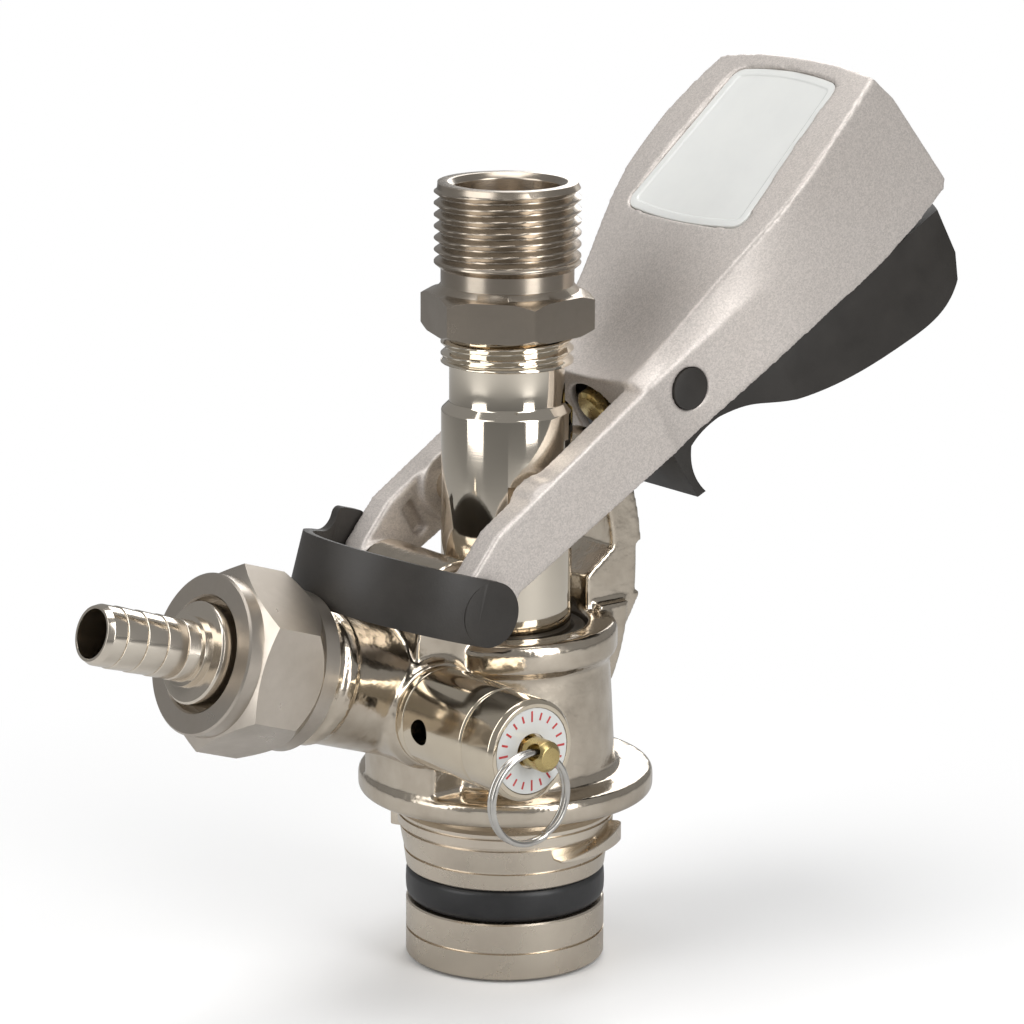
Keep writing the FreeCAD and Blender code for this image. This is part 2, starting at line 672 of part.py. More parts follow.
def gas_tailpiece():
    """Hose tail: flange, collar and barbs, bored through."""
    collar_end = NUT_END + TAIL_COLLAR_OUT
    barb_start = collar_end + TAIL_STEP_L
    steps = [
        (TAIL_BORE_R, GAS_WASHER_END), (TAIL_FLANGE_R, GAS_WASHER_END),
        (TAIL_FLANGE_R, TAIL_FLANGE_END), (TAIL_COLLAR_R, TAIL_FLANGE_END),
        (TAIL_COLLAR_R, collar_end - 0.4), (TAIL_COLLAR_R - 0.4, collar_end),
        (TAIL_STEP_R, collar_end), (TAIL_STEP_R, barb_start - 0.4),
        (TAIL_STEP_R - 0.4, barb_start), (BARB_ROOT_R, barb_start)]
    for index in range(BARB_COUNT):
        crest = barb_start + BARB_PITCH * (index + 0.65)
        steps.append((BARB_ROOT_R, crest - 0.9))
        steps.append((BARB_TIP_R, crest))
        steps.append((BARB_ROOT_R, crest + BARB_PITCH * 0.35))
    tip = barb_start + BARB_PITCH * (BARB_COUNT + 0.55)
    steps.append((BARB_ROOT_R, tip - 0.4))
    steps.append((BARB_ROOT_R - 0.2, tip))
    steps.append((TAIL_BORE_R, tip))
    return on_gas_axis(turned(*steps))


def gas_union_nut():
    """Union nut that pulls the hose tail against the arm, with a round skirt at each end."""
    corner = NUT_AF / math.sqrt(3)
    edge = NUT_SKIRT_R - NUT_FACE_R
    front = NUT_END - NUT_FRONT_SKIRT
    rear = NUT_START + NUT_REAR_SKIRT
    rounding = turned(
        (0, NUT_START), (NUT_FACE_R, NUT_START), (NUT_SKIRT_R, NUT_START + edge),
        (NUT_SKIRT_R, rear), (corner, rear + NUT_REAR_CONE), (corner, front - NUT_FRONT_CONE),
        (NUT_SKIRT_R, front), (NUT_SKIRT_R, NUT_END - edge), (NUT_FACE_R, NUT_END), (0, NUT_END))
    nut = hexagon(NUT_AF, NUT_START, NUT_END).common(rounding)
    thread = rod(GAS_THREAD_R, NUT_START - OVERRUN, TAIL_FLANGE_END)
    hole = rod(NUT_HOLE_R, TAIL_FLANGE_END, NUT_END + OVERRUN)
    return on_gas_axis(nut.cut([thread, hole]))


# Relief valve

RELIEF_BODY_Y = RELIEF_BOSS_Y + RELIEF_LAND_W
RELIEF_CAP_IN = RELIEF_FACE_Y - RELIEF_CAP_T


def relief_body():
    """Sleeve screwed into the casting: seat, bore and vent hole."""
    body = turned(
        (RELIEF_PORT_R, RELIEF_BODY_Y - RELIEF_SPIGOT_L),
        (RELIEF_SPIGOT_R, RELIEF_BODY_Y - RELIEF_SPIGOT_L), (RELIEF_SPIGOT_R, RELIEF_BODY_Y),
        (RELIEF_R - 0.3, RELIEF_BODY_Y), (RELIEF_R, RELIEF_BODY_Y + 0.3),
        (RELIEF_R, RELIEF_JOINT_Y - 0.2), (RELIEF_R - 0.2, RELIEF_JOINT_Y),
        (RELIEF_BORE_R, RELIEF_JOINT_Y), (RELIEF_BORE_R, RELIEF_SEAT_Y - 0.6),
        (RELIEF_PORT_R + 1.4, RELIEF_SEAT_Y - 0.6), (RELIEF_PORT_R + 0.9, RELIEF_SEAT_Y),
        (RELIEF_PORT_R, RELIEF_SEAT_Y))
    vent = Part.makeCylinder(RELIEF_VENT_R, RELIEF_R + OVERRUN, ORIGIN, X)
    vent.translate(V(0, 0, RELIEF_VENT_Y))
    vent.rotate(ORIGIN, Z, 180.0 - 10.0)
    return on_relief_axis(body.cut(vent))


def relief_cap():
    """Cap that closes the relief valve, with a recess in its face for the label."""
    return on_relief_axis(turned(
        (RELIEF_STEM_R + RUNNING, RELIEF_CAP_IN), (RELIEF_BORE_R, RELIEF_CAP_IN),
        (RELIEF_BORE_R, RELIEF_JOINT_Y), (RELIEF_R - 0.2, RELIEF_JOINT_Y),
        (RELIEF_R, RELIEF_JOINT_Y + 0.2), (RELIEF_R, RELIEF_FACE_Y - EDGE_BREAK),
        (RELIEF_R - EDGE_BREAK, RELIEF_FACE_Y), (LABEL_R, RELIEF_FACE_Y),
        (LABEL_R, RELIEF_FACE_Y - LABEL_T), (RELIEF_STEM_R + RUNNING, RELIEF_FACE_Y - LABEL_T)))


def relief_label():
    """Thin plastic disc in the cap's face."""
    return on_relief_axis(tube(LABEL_R, KNOB_R + SLIDE_GAP, RELIEF_FACE_Y - LABEL_T,
                               RELIEF_FACE_Y - 0.05))


HEAD_Y = RELIEF_SEAT_Y + RELIEF_SEAL_T
SPRING_SEAT_Y = HEAD_Y + RELIEF_HEAD_T
KNOB_Y = RELIEF_FACE_Y + 0.15
PULL_Y = KNOB_Y + KNOB_HOLE_Y


def relief_seal():
    """Rubber disc that the spring holds on the seat."""
    return on_relief_axis(tube(RELIEF_SEAL_R, RELIEF_STEM_R, RELIEF_SEAT_Y + RUNNING, HEAD_Y))


def relief_stem():
    """Stem with the head that carries the seal."""
    return on_relief_axis(turned(
        (0, RELIEF_SEAT_Y + 0.2), (RELIEF_STEM_R, RELIEF_SEAT_Y + 0.2), (RELIEF_STEM_R, HEAD_Y),
        (RELIEF_HEAD_R, HEAD_Y), (RELIEF_HEAD_R, SPRING_SEAT_Y), (RELIEF_STEM_R, SPRING_SEAT_Y),
        (RELIEF_STEM_R, KNOB_Y + 0.6), (0, KNOB_Y + 0.6)))


def relief_knob():
    """Brass knob on the stem's end, cross-drilled for the pull ring."""
    knob = turned(
        (0, KNOB_Y + 0.6), (RELIEF_STEM_R, KNOB_Y + 0.6), (RELIEF_STEM_R, KNOB_Y),
        (KNOB_R - 0.3, KNOB_Y), (KNOB_R, KNOB_Y + 0.3), (KNOB_R, KNOB_Y + KNOB_L - 0.7),
        (KNOB_R - 0.7, KNOB_Y + KNOB_L), (0, KNOB_Y + KNOB_L))
    hole = Part.makeCylinder(KNOB_HOLE_R, 4 * KNOB_R, V(-2 * KNOB_R, 0, PULL_Y), X)
    knob = on_relief_axis(knob.cut(hole))
    knob.rotate(RELIEF_BASE, Y, PULL_HANG_DEG)
    return knob


def coil(wire_r, mean_r, start, end, turns):
    """Compression spring about Z, its ends resting just inside start and end."""
    rise = end - start - 2 * wire_r
    helix = Part.makeHelix(rise / turns, rise, mean_r)
    profile = Part.Wire(Part.makeCircle(wire_r, V(mean_r, 0, 0), Y))
    spring = Part.Wire(helix).makePipeShell([profile], True, True)
    spring.translate(V(0, 0, start + wire_r))
    return spring


def relief_spring():
    """Spring between the stem's head and the cap."""
    return on_relief_axis(coil(SPRING_WIRE_R, SPRING_MEAN_R, SPRING_SEAT_Y + RUNNING,
                               RELIEF_CAP_IN - RUNNING, 5))


def pull_ring():
    """Split ring of two wire turns, hanging from the knob's cross hole."""
    sag = 0.25
    turn = Part.makeTorus(PULL_RING_R, PULL_WIRE_R, V(0, 0, -PULL_WIRE_R * 0.9), Z)
    pair = joined(turn, Part.makeTorus(PULL_RING_R, PULL_WIRE_R, V(0, 0, PULL_WIRE_R * 0.9), Z))
    ring = along(pair, RELIEF_BASE + V(0, -PULL_Y, -PULL_RING_R + sag), RELIEF_DIR)
    ring.rotate(RELIEF_BASE, Y, PULL_HANG_DEG)
    return ring


# Probe and outlet

DRIVE_R = math.hypot(DRIVE_U, DRIVE_V)
DRIVE_DEG = math.degrees(math.atan2(DRIVE_V, DRIVE_U)) + LEVER_REST_DEG
DRIVE_Z = PIVOT_Z + DRIVE_R * math.sin(math.radians(DRIVE_DEG))
SLOT_FLOOR_Y = PROBE_R - DRIVE_BITE - SLIDE_GAP
PROBE_NECK_R = PROBE_R - PROBE_CHAMFER
WASHER_Z = PROBE_END_Z
SEAT_Z = WASHER_Z + WASHER_T
RETAINER_Z = PROBE_END_Z - RETAINER_T
SEAT_SLOPE = math.sqrt(0.5)
BALL_Z = BALL_SEAT_Z + (BALL_R + RUNNING) / SEAT_SLOPE - PROBE_BORE_R


def probe_tube():
    """Sliding probe: beer bore, gas-side step, drive slots, thread and the ball's chamber."""
    body = turned(
        (0, PROBE_TIP_Z), (PROBE_LOW_R - 1.2, PROBE_TIP_Z), (PROBE_LOW_R, PROBE_TIP_Z + 1.2),
        (PROBE_LOW_R, TIP_SEAL_Z), (PROBE_LOW_R - 1.2, TIP_SEAL_Z),
        (PROBE_LOW_R - 1.2, TIP_SEAL_Z + TIP_SEAL_H), (PROBE_LOW_R, TIP_SEAL_Z + TIP_SEAL_H),
        (PROBE_LOW_R, PROBE_SHOULDER_Z), (PROBE_R, PROBE_SHOULDER_Z + PROBE_R - PROBE_LOW_R),
        (PROBE_R, PROBE_TOP_Z), (PROBE_NECK_R, PROBE_TOP_Z + PROBE_CHAMFER),
        (PROBE_NECK_R, PROBE_NECK_Z), (PROBE_THREAD_R - 0.4, PROBE_NECK_Z),
        (PROBE_THREAD_R, PROBE_NECK_Z + 0.4), (PROBE_THREAD_R, PROBE_END_Z), (0, PROBE_END_Z))
    bore = turned(
        (0, PROBE_TIP_Z - OVERRUN), (PROBE_BORE_R, PROBE_TIP_Z - OVERRUN),
        (PROBE_BORE_R, BALL_SEAT_Z), (BALL_CHAMBER_R, BALL_SEAT_Z + BALL_CHAMBER_R - PROBE_BORE_R),
        (BALL_CHAMBER_R, RETAINER_Z), (RETAINER_R, RETAINER_Z), (RETAINER_R, PROBE_END_Z + OVERRUN),
        (0, PROBE_END_Z + OVERRUN))
    low = DRIVE_Z - DRIVE_PIN_R - 2 * RUNNING
    high = DRIVE_Z + DRIVE_PIN_R + DRIVE_SWING + 2 * RUNNING
    slot = block(-PROBE_R - OVERRUN, PROBE_R + OVERRUN, SLOT_FLOOR_Y, PROBE_R + OVERRUN, low, high)
    return body.cut([bore, slot, mirrored_y(slot)])


def probe_tip_seal():
    """Rubber ring in the groove of the probe's tip."""
    low = TIP_SEAL_Z
    top = TIP_SEAL_Z + TIP_SEAL_H
    root = PROBE_LOW_R - 1.2
    return turned(
        (root, low), (PROBE_LOW_R, low), ((TIP_SEAL_R, (low + top) / 2), (PROBE_LOW_R, top)),
        (root, top))


def check_ball():
    """Ball that stops beer from running back; it lies on the conical seat in the probe."""
    return Part.makeSphere(BALL_R, V(0, 0, BALL_Z))


def ball_retainer():
    """Ring with three fingers that keeps the ball in the probe."""
    ring = tube(RETAINER_R, BALL_CHAMBER_R - 0.6, RETAINER_Z, PROBE_END_Z)
    stop_z = BALL_Z + BALL_R + BALL_LIFT + RUNNING
    fingers = []
    for index in range(3):
        finger = block(1.2, BALL_CHAMBER_R - 0.2, -0.8, 0.8, stop_z, PROBE_END_Z)
        finger.rotate(ORIGIN, Z, 120 * index)
        fingers.append(finger)
    hub = tube(2.2, 1.0, stop_z, PROBE_END_Z)
    return joined(ring, hub, *fingers)


def outlet_washer():
    """Flat washer between the probe's end and the outlet adapter."""
    return tube(PROBE_THREAD_R - 0.4, OUTLET_BORE_R - 0.6, WASHER_Z, SEAT_Z)


def outlet_adapter():
    """Hexagon that screws onto the probe, with the threaded outlet for the beer line."""
    corner = HEX_AF / math.sqrt(3)
    drop = 0.9
    rounding = turned(
        (0, HEX_Z), (corner - 1.6, HEX_Z), (corner, HEX_Z + drop), (corner, HEX_Z + HEX_H - drop),
        (corner - 1.6, HEX_Z + HEX_H), (OUTLET_NECK_R + 0.3, OUTLET_NECK_Z), (0, OUTLET_NECK_Z))
    hexagon_part = hexagon(HEX_AF, HEX_Z, OUTLET_NECK_Z, HEX_TURN_DEG).common(rounding)
    stem = turned(
        (0, SEAT_Z), (OUTLET_NECK_R, SEAT_Z), (OUTLET_NECK_R, OUTLET_THREAD_Z - 0.8),
        (OUTLET_THREAD_R, OUTLET_THREAD_Z), (OUTLET_THREAD_R, OUTLET_TOP_Z - 0.9),
        (OUTLET_THREAD_R - 0.9, OUTLET_TOP_Z), (0, OUTLET_TOP_Z))
    thread = rod(PROBE_THREAD_R, HEX_Z - OVERRUN, SEAT_Z)
    bore = turned(
        (0, HEX_Z), (OUTLET_STEP_R, HEX_Z), (OUTLET_STEP_R, OUTLET_STEP_Z),
        (OUTLET_BORE_R, OUTLET_STEP_Z + 1.2), (OUTLET_BORE_R, OUTLET_TOP_Z - 0.6),
        (OUTLET_BORE_R + 0.6, OUTLET_TOP_Z), (OUTLET_BORE_R + 0.6, OUTLET_TOP_Z + OVERRUN),
        (0, OUTLET_TOP_Z + OVERRUN))
    return joined(hexagon_part, stem).cut([thread, bore])


# Lever, drawn in its own frame: x is u along the arms, z is v

# Outer sections of the handle: share of its length, foot (y, v), crease (y, v), top edge
# (y, v) and crown v
HANDLE_SECTIONS = (
    (0.0, (ARM_OUT_Y, ARM_LOW_V), (ARM_OUT_Y, ROOT_CREST_V), (12.2, ROOT_TOP_V), 10.9),
    (0.2312, (17.3, -1.1), (17.2, 11.3), (14.8, 15.3), 14.6),
    (0.3757, (19.0, 0.1), (18.8, 12.2), (18.0, 18.7), 19.7),
    (0.5058, (19.6, 0.7), (19.9, 12.8), (20.4, 21.7), 22.5),
    (0.6936, (19.8, 1.2), (20.2, 13.7), (20.7, 25.3), 25.6),
    (0.8237, (19.5, 2.0), (19.5, 14.5), (19.5, 27.1), 27.5),
    (1.0260, (17.6, 3.6), (17.0, 15.8), (15.8, 29.2), 30.3))
# Inner sections: share of its length, half-width, shoulder v, ceiling half-width, ceiling v
CAVITY_SECTIONS = (
    (ROOT_WALL / HANDLE_L, ARM_OUT_Y - ARM_T, 9.2, 10.8, 9.7),
    (0.1879, 12.6, 10.0, 11.6, 11.4),
    (0.3179, 15.4, 11.0, 13.2, 15.0),
    (0.4913, 17.1, 12.0, 15.2, 19.6),
    (0.7225, 17.2, 13.4, 14.9, 23.6),
    (0.9682, 16.8, 14.8, 13.9, 26.8))
HANDLE_TOP_V = 29.5
HANDLE_ROUND = 1.8
WELL_BELOW = -40.0


def skin_section(share, foot, crease, edge, crown):
    """Closed cross-section of the handle's outside at one place along it."""
    u = ROOT_U + share * HANDLE_L
    right = [V(u, foot[0], foot[1]), V(u, crease[0], crease[1]), V(u, edge[0], edge[1])]
    left = [V(u, -p.y, p.z) for p in right]
    edges = [
        Part.LineSegment(left[0], right[0]).toShape(),
        Part.LineSegment(right[0], right[1]).toShape(),
        Part.LineSegment(right[1], right[2]).toShape(),
        Part.Arc(right[2], V(u, 0, crown), left[2]).toShape(),
        Part.LineSegment(left[2], left[1]).toShape(),
        Part.LineSegment(left[1], left[0]).toShape()]
    return Part.Wire(edges)


def cavity_section(share, half, shoulder_v, edge_y, ceiling_v):
    """Closed cross-section of the handle's inside; it reaches below the open underside."""
    u = ROOT_U + share * HANDLE_L
    points = [(-half, WELL_BELOW), (half, WELL_BELOW), (half, shoulder_v), (edge_y, ceiling_v),
              (-edge_y, ceiling_v), (-half, shoulder_v), (-half, WELL_BELOW)]
    return Part.makePolygon([V(u, y, v) for y, v in points])


def end_limit():
    """Rear of the handle: bowed in plan, sloping forward to a rounded top edge."""
    lip = HANDLE_BOW_R - 1.1
    slope = HANDLE_BOW_R - 3.1
    edge = (slope - 1.8, 26.8)
    round_end = (edge[0] - HANDLE_ROUND, edge[1] + HANDLE_ROUND)
    middle = (edge[0] - 0.35 * HANDLE_ROUND, edge[1] + 0.65 * HANDLE_ROUND)
    limit = turned(
        (0, WELL_BELOW), (lip, WELL_BELOW), (lip, 3.3), (HANDLE_BOW_R, 4.2), (slope, 22.3), edge,
        (middle, round_end), (0, HANDLE_TOP_V))
    limit.translate(V(HANDLE_END_U - HANDLE_BOW_R, 0, 0))
    return limit


def handle_skin():
    """Outer form of the handle, without its hollow."""
    skin = Part.makeLoft([skin_section(*row) for row in HANDLE_SECTIONS], True, False)
    return skin.common(end_limit())


def handle_room():
    """Hollow of the handle, open below."""
    inside = Part.makeLoft([cavity_section(*row) for row in CAVITY_SECTIONS], True, False)
    wall_end = plate(
        2 * ARM_OUT_Y, (0, WELL_BELOW), (SHELL_END_U, WELL_BELOW), (SHELL_END_U, 4.0),
        (SHELL_END_U - 3.6, HANDLE_TOP_V - 5.5), (SHELL_END_U - 6.4, HANDLE_TOP_V - 2.9),
        (0, HANDLE_TOP_V - 2.9))
    return inside.common(wall_end)


def lever_arm():
    """One arm from its hinge end to the handle's root, with the boss for its drive pin."""
    start = (3.2, -math.sqrt(ARM_END_R ** 2 - 3.2 ** 2))
    top = (-1.6, math.sqrt(ARM_END_R ** 2 - 1.6 ** 2))
    face = Part.Face(outline(
        start, ((-ARM_END_R, 0), top), (ARM_CREST_U, ARM_CREST_V), (ROOT_U + 1, ROOT_CREST_V),
        (ROOT_U + 1, ARM_LOW_V), (7.0, ARM_LOW_V)))
    face.translate(V(0, ARM_OUT_Y - ARM_T, 0))
    arm = face.extrude(V(0, ARM_T, 0))
    inner = ARM_OUT_Y - ARM_T
    room = Part.Face(outline(
        (ARM_CREST_U + 1.5, ARM_LOW_V + 2.2), (DRIVE_U - 7.0, ARM_LOW_V + 2.2),
        (DRIVE_U - 7.0, ARM_CREST_V - 2.4), (ARM_CREST_U + 1.5, ARM_CREST_V - 2.8)))
    room.translate(V(0, inner - OVERRUN, 0))
    front = Part.Face(outline(
        (DRIVE_U + 7.0, ARM_LOW_V + 2.2), (ROOT_U - 3.0, ARM_LOW_V + 2.2),
        (ROOT_U - 3.0, ROOT_CREST_V - 2.6), (DRIVE_U + 7.0, ARM_CREST_V - 1.6)))
    front.translate(V(0, inner - OVERRUN, 0))
    pockets = [shape.extrude(V(0, OVERRUN + 1.6, 0)) for shape in (room, front)]
    end = across(ARM_END_R, BOSS_Y, ARM_OUT_Y - 1.0)
    cone = Part.makeCone(ARM_END_R, ARM_END_R - 1.0, 1.0, V(0, ARM_OUT_Y - 1.0, 0), Y)
    corner = across(ARM_END_R + OVERRUN, inner - OVERRUN, ARM_OUT_Y + OVERRUN)
    corner = corner.common(block(-2 * ARM_END_R, 0, 0, 2 * ARM_OUT_Y, -ARM_END_R, ARM_END_R))
    drive_boss = across(DRIVE_BOSS_R, DRIVE_BOSS_Y, ARM_OUT_Y - 1.0, DRIVE_U, DRIVE_V)
    arm = arm.cut([corner] + pockets)
    return joined(arm, end, cone, drive_boss)


def latch_guide():
    """Block that guides the latch plunger and the wall behind its spring, up to the handle's roof."""
    low = PLUNGER_V - PLUNGER_R - 1.0
    guide = block(GUIDE_START_U, GUIDE_START_U + GUIDE_L, -GUIDE_HALF, GUIDE_HALF, low, HANDLE_TOP_V)
    stop = block(LATCH_STOP_U, LATCH_STOP_U + LATCH_STOP_T, -GUIDE_HALF, GUIDE_HALF, low,
                 HANDLE_TOP_V)
    return guide.fuse(stop)


def lever():
    """The cast lever: two arms, hollow handle, latch guide and the recess for the plate."""
    near = lever_arm()
    skin = handle_skin()
    solid = joined(skin.cut(handle_room()), near, mirrored_y(near), latch_guide().common(skin))
    window = Part.makeCylinder(WINDOW_R, ROOT_WALL + 2 * OVERRUN,
                               V(ROOT_U - OVERRUN, 0, WINDOW_V), X)
    below = block(ROOT_U - OVERRUN, ROOT_U + ROOT_WALL + OVERRUN, -WINDOW_R, WINDOW_R,
                  ARM_LOW_V - OVERRUN, WINDOW_V)
    far = 2 * ARM_OUT_Y
    pin_bore = across(PIN_R + RUNNING, -far, far)
    trunnion = across(TRUNNION_R + RUNNING, -far, far, TRUNNION_U, TRUNNION_V)
    drive = across(DRIVE_PIN_R - DRIVE_STEP, -DRIVE_END_Y, DRIVE_END_Y, DRIVE_U, DRIVE_V)
    plunger = Part.makeCylinder(PLUNGER_R + RUNNING, GUIDE_L + 2 * OVERRUN,
                                V(GUIDE_START_U - OVERRUN, 0, PLUNGER_V), X)
    seat = badge_form(BADGE_GAP, BADGE_SINK + BADGE_T)
    return on_lever(solid.cut([window, below, pin_bore, trunnion, drive, plunger, seat]))


# Plate on the handle: a quadrilateral with rounded corners and bowed ends, given by its two
# ends (u, v, half-width)
BADGE_LOW = (ROOT_U + 0.4321 * HANDLE_L, 21.1, 14.4)
BADGE_HIGH = (ROOT_U + 0.8526 * HANDLE_L, 27.75, 12.4)
BADGE_CORNER = 2.6
BADGE_BOW = 1.3
BADGE_RISE = BADGE_HIGH[1] - BADGE_LOW[1]
BADGE_RUN = BADGE_HIGH[0] - BADGE_LOW[0]


def on_handle_top(shape):
    """Tilts a shape drawn flat at the origin onto the sloping top of the handle."""
    shape.rotate(ORIGIN, Y, -math.degrees(math.atan2(BADGE_RISE, BADGE_RUN)))
    shape.translate(V(BADGE_LOW[0], 0, BADGE_LOW[1]))
    return shape


def badge_form(grow, depth):
    """The plate's outline, grown by a gap and reaching depth below the handle's top plane."""
    low_half = BADGE_LOW[2] + grow
    high_half = BADGE_HIGH[2] + grow
    left = -grow
    right = math.hypot(BADGE_RISE, BADGE_RUN) + grow
    corners = [V(left, -low_half, 0), V(right, -high_half, 0), V(right, high_half, 0),
               V(left, low_half, 0)]
    edges = [
        Part.LineSegment(corners[0], corners[1]).toShape(),
        Part.Arc(corners[1], V(right + BADGE_BOW, 0, 0), corners[2]).toShape(),
        Part.LineSegment(corners[2], corners[3]).toShape(),
        Part.Arc(corners[3], V(left - BADGE_BOW, 0, 0), corners[0]).toShape()]
    form = Part.Face(Part.Wire(edges)).extrude(V(0, 0, depth + 2 * BADGE_CORNER))
    upright = [edge for edge in form.Edges
               if abs(edge.Vertexes[0].Z - edge.Vertexes[-1].Z) > depth]
    form = form.makeFillet(BADGE_CORNER, upright)
    form.translate(V(0, 0, -depth))
    return on_handle_top(form)


def handle_badge():
    """Plain plate in the handle's recess."""
    wide = 2 * BADGE_RUN
    above = on_handle_top(block(-wide, wide, -wide, wide, -BADGE_SINK, wide))
    return on_lever(badge_form(0, BADGE_SINK + BADGE_T).cut(above))


def drive_pins():
    """Two stepped pins pressed into the arms; their heads ride in the probe's slots."""
    head = across(DRIVE_PIN_R, PROBE_R - DRIVE_BITE, DRIVE_BOSS_Y, DRIVE_U, DRIVE_V)
    shank = across(DRIVE_PIN_R - DRIVE_STEP, DRIVE_BOSS_Y, DRIVE_END_Y, DRIVE_U, DRIVE_V)
    pin = joined(head, shank)
    return on_lever(Part.Compound([pin, mirrored_y(pin)]))


# Trigger and latch

# Underside of the trigger (u from the root, v): finger hook, then sole up to the tail
HOOK_POINTS = ((5.4, -14.5), (5.0, -9.6), (6.6, -6.2))
SOLE_POINTS = (
    (6.6, -6.2), (9.7, -5.5), (14.4, -5.7), (18.6, -6.8), (23.2, -9.4), (28.0, -11.7),
    (38.5, -15.0), (50.0, -17.0), (60.3, -16.8), (64.0, -14.6))


def grip_points(points, lift=0.0):
    """Points of the trigger's underside in the lever's frame, raised by a wall thickness."""
    return [(ROOT_U + u, v + lift) for u, v in points]


def trigger_plan(inset, rear_u):
    """Plan view of the trigger, narrow between the arms and wide under the handle."""
    front = TRIGGER_HALF - inset
    rear = TRIGGER_REAR_HALF - inset
    near = [V(ROOT_U - 2.0, -front, WELL_BELOW), V(ROOT_U + 13.5, -front, WELL_BELOW),
            V(ROOT_U + 26.0, -rear, WELL_BELOW), V(rear_u - 4.0, -rear, WELL_BELOW)]
    far = [V(p.x, -p.y, p.z) for p in reversed(near)]
    edges = [Part.LineSegment(a, b).toShape() for a, b in zip(near, near[1:])]
    edges.append(Part.Arc(near[-1], V(rear_u, 0, WELL_BELOW), far[0]).toShape())
    edges += [Part.LineSegment(a, b).toShape() for a, b in zip(far, far[1:])]
    edges.append(Part.LineSegment(far[-1], near[0]).toShape())
    return Part.Face(Part.Wire(edges)).extrude(V(0, 0, -2 * WELL_BELOW))


def curved(points):
    """Smooth edge through points in the XZ plane."""
    curve = Part.BSplineCurve()
    curve.interpolate([pt(x, z) for x, z in points])
    return curve.toShape()


def line(a, b):
    """Straight edge between two points of the XZ plane."""
    return Part.LineSegment(pt(*a), pt(*b)).toShape()


def profile_solid(edges, half):
    """Solid that reaches half to each side, from edges that close in the XZ plane."""
    face = Part.Face(Part.Wire(edges))
    face.translate(V(0, -half, 0))
    return face.extrude(V(0, 2 * half, 0))


def trigger_outside():
    """Side form of the trigger: flat front, hook, sole, tail and the low lid above the tail."""
    hook = grip_points(HOOK_POINTS)
    sole = grip_points(SOLE_POINTS)
    lid_front = (TRIGGER_FRONT_U + 0.3, TRIGGER_LID_V)
    front_high = (TRIGGER_FRONT_U, -3.2)
    front_low = (TRIGGER_FRONT_U + 0.9, -14.3)
    tail = (HANDLE_END_U - 0.1, TRIGGER_SPLIT_V)
    lid_end = (TRIGGER_END_U, TRIGGER_SPLIT_V)
    lid_rear = (TRIGGER_END_U, TRIGGER_LID_V)
    return profile_solid([
        line(lid_front, front_high), line(front_high, front_low), line(front_low, hook[0]),
        curved(hook), curved(sole), line(sole[-1], tail), line(tail, lid_end),
        line(lid_end, lid_rear), line(lid_rear, lid_front)], TRIGGER_REAR_HALF + OVERRUN)


def trigger_room():
    """Hollow inside the trigger, open above."""
    floor = grip_points(SOLE_POINTS[1:], TRIGGER_WALL)
    high = -WELL_BELOW
    front_u = ROOT_U + 7.0
    rear_u = HANDLE_END_U - 1.7
    room = profile_solid([
        line((front_u, high), (front_u, floor[0][1])), line((front_u, floor[0][1]), floor[0]),
        curved(floor), line(floor[-1], (rear_u, high)), line((rear_u, high), (front_u, high))],
        TRIGGER_REAR_HALF + OVERRUN)
    room = room.common(trigger_plan(TRIGGER_WALL + TRIGGER_STEP, TRIGGER_END_U - TRIGGER_WALL))
    half = TRIGGER_HALF - TRIGGER_WALL
    return room.fuse(block(ROOT_U - 2.0, ROOT_U + 14.0, -half, half, -OVERRUN, high))


def trigger():
    """Hollow grip lever under the handle, with a finger hook, trunnions and a slot for the dowel."""
    outer = trigger_outside()
    below = block(0, 2 * HANDLE_END_U, 2 * WELL_BELOW, -2 * WELL_BELOW, WELL_BELOW,
                  TRIGGER_SPLIT_V)
    low = outer.common(trigger_plan(0, HANDLE_END_U + EDGE_BREAK)).common(below)
    high = outer.common(trigger_plan(TRIGGER_STEP, TRIGGER_END_U)).cut(below)
    cheek_r = TRUNNION_R + 0.5
    cheek = across(cheek_r, -TRIGGER_HALF, TRIGGER_HALF, TRUNNION_U, TRUNNION_V)
    upright = block(TRUNNION_U - cheek_r, TRUNNION_U + cheek_r, -TRIGGER_HALF, TRIGGER_HALF,
                    -OVERRUN, TRUNNION_V)
    hole_low = DOWEL_END_V - 1.8
    hole = Part.makeCylinder(DOWEL_R + SLIDE_GAP, -hole_low, V(DOWEL_U, 0, hole_low), Z)
    body = joined(low, high, cheek, upright).cut([trigger_room(), hole])
    pin = across(TRUNNION_R, -ARM_OUT_Y + 0.1, -TRIGGER_HALF + OVERRUN, TRUNNION_U, TRUNNION_V)
    return on_lever(joined(body, pin, mirrored_y(pin)))


PLUNGER_U = RAIL_R + LATCH_CLEAR


def latch_plunger():
    """Brass plunger that drops into the rail's notch."""
    body = Part.makeCylinder(PLUNGER_R, PLUNGER_L - 0.6, V(PLUNGER_U + 0.6, 0, PLUNGER_V), X)
    nose = Part.makeCone(PLUNGER_R - 0.6, PLUNGER_R, 0.6, V(PLUNGER_U, 0, PLUNGER_V), X)
    hole = Part.makeCylinder(DOWEL_R, 2 * PLUNGER_R, V(DOWEL_U, 0, PLUNGER_V - 2 * PLUNGER_R), Z)
    return on_lever(joined(body, nose).cut(hole))


def latch_dowel():
    """Dowel across the plunger that the trigger pulls."""
    length = PLUNGER_V - DOWEL_END_V
    return on_lever(Part.makeCylinder(DOWEL_R, length, V(DOWEL_U, 0, DOWEL_END_V), Z))


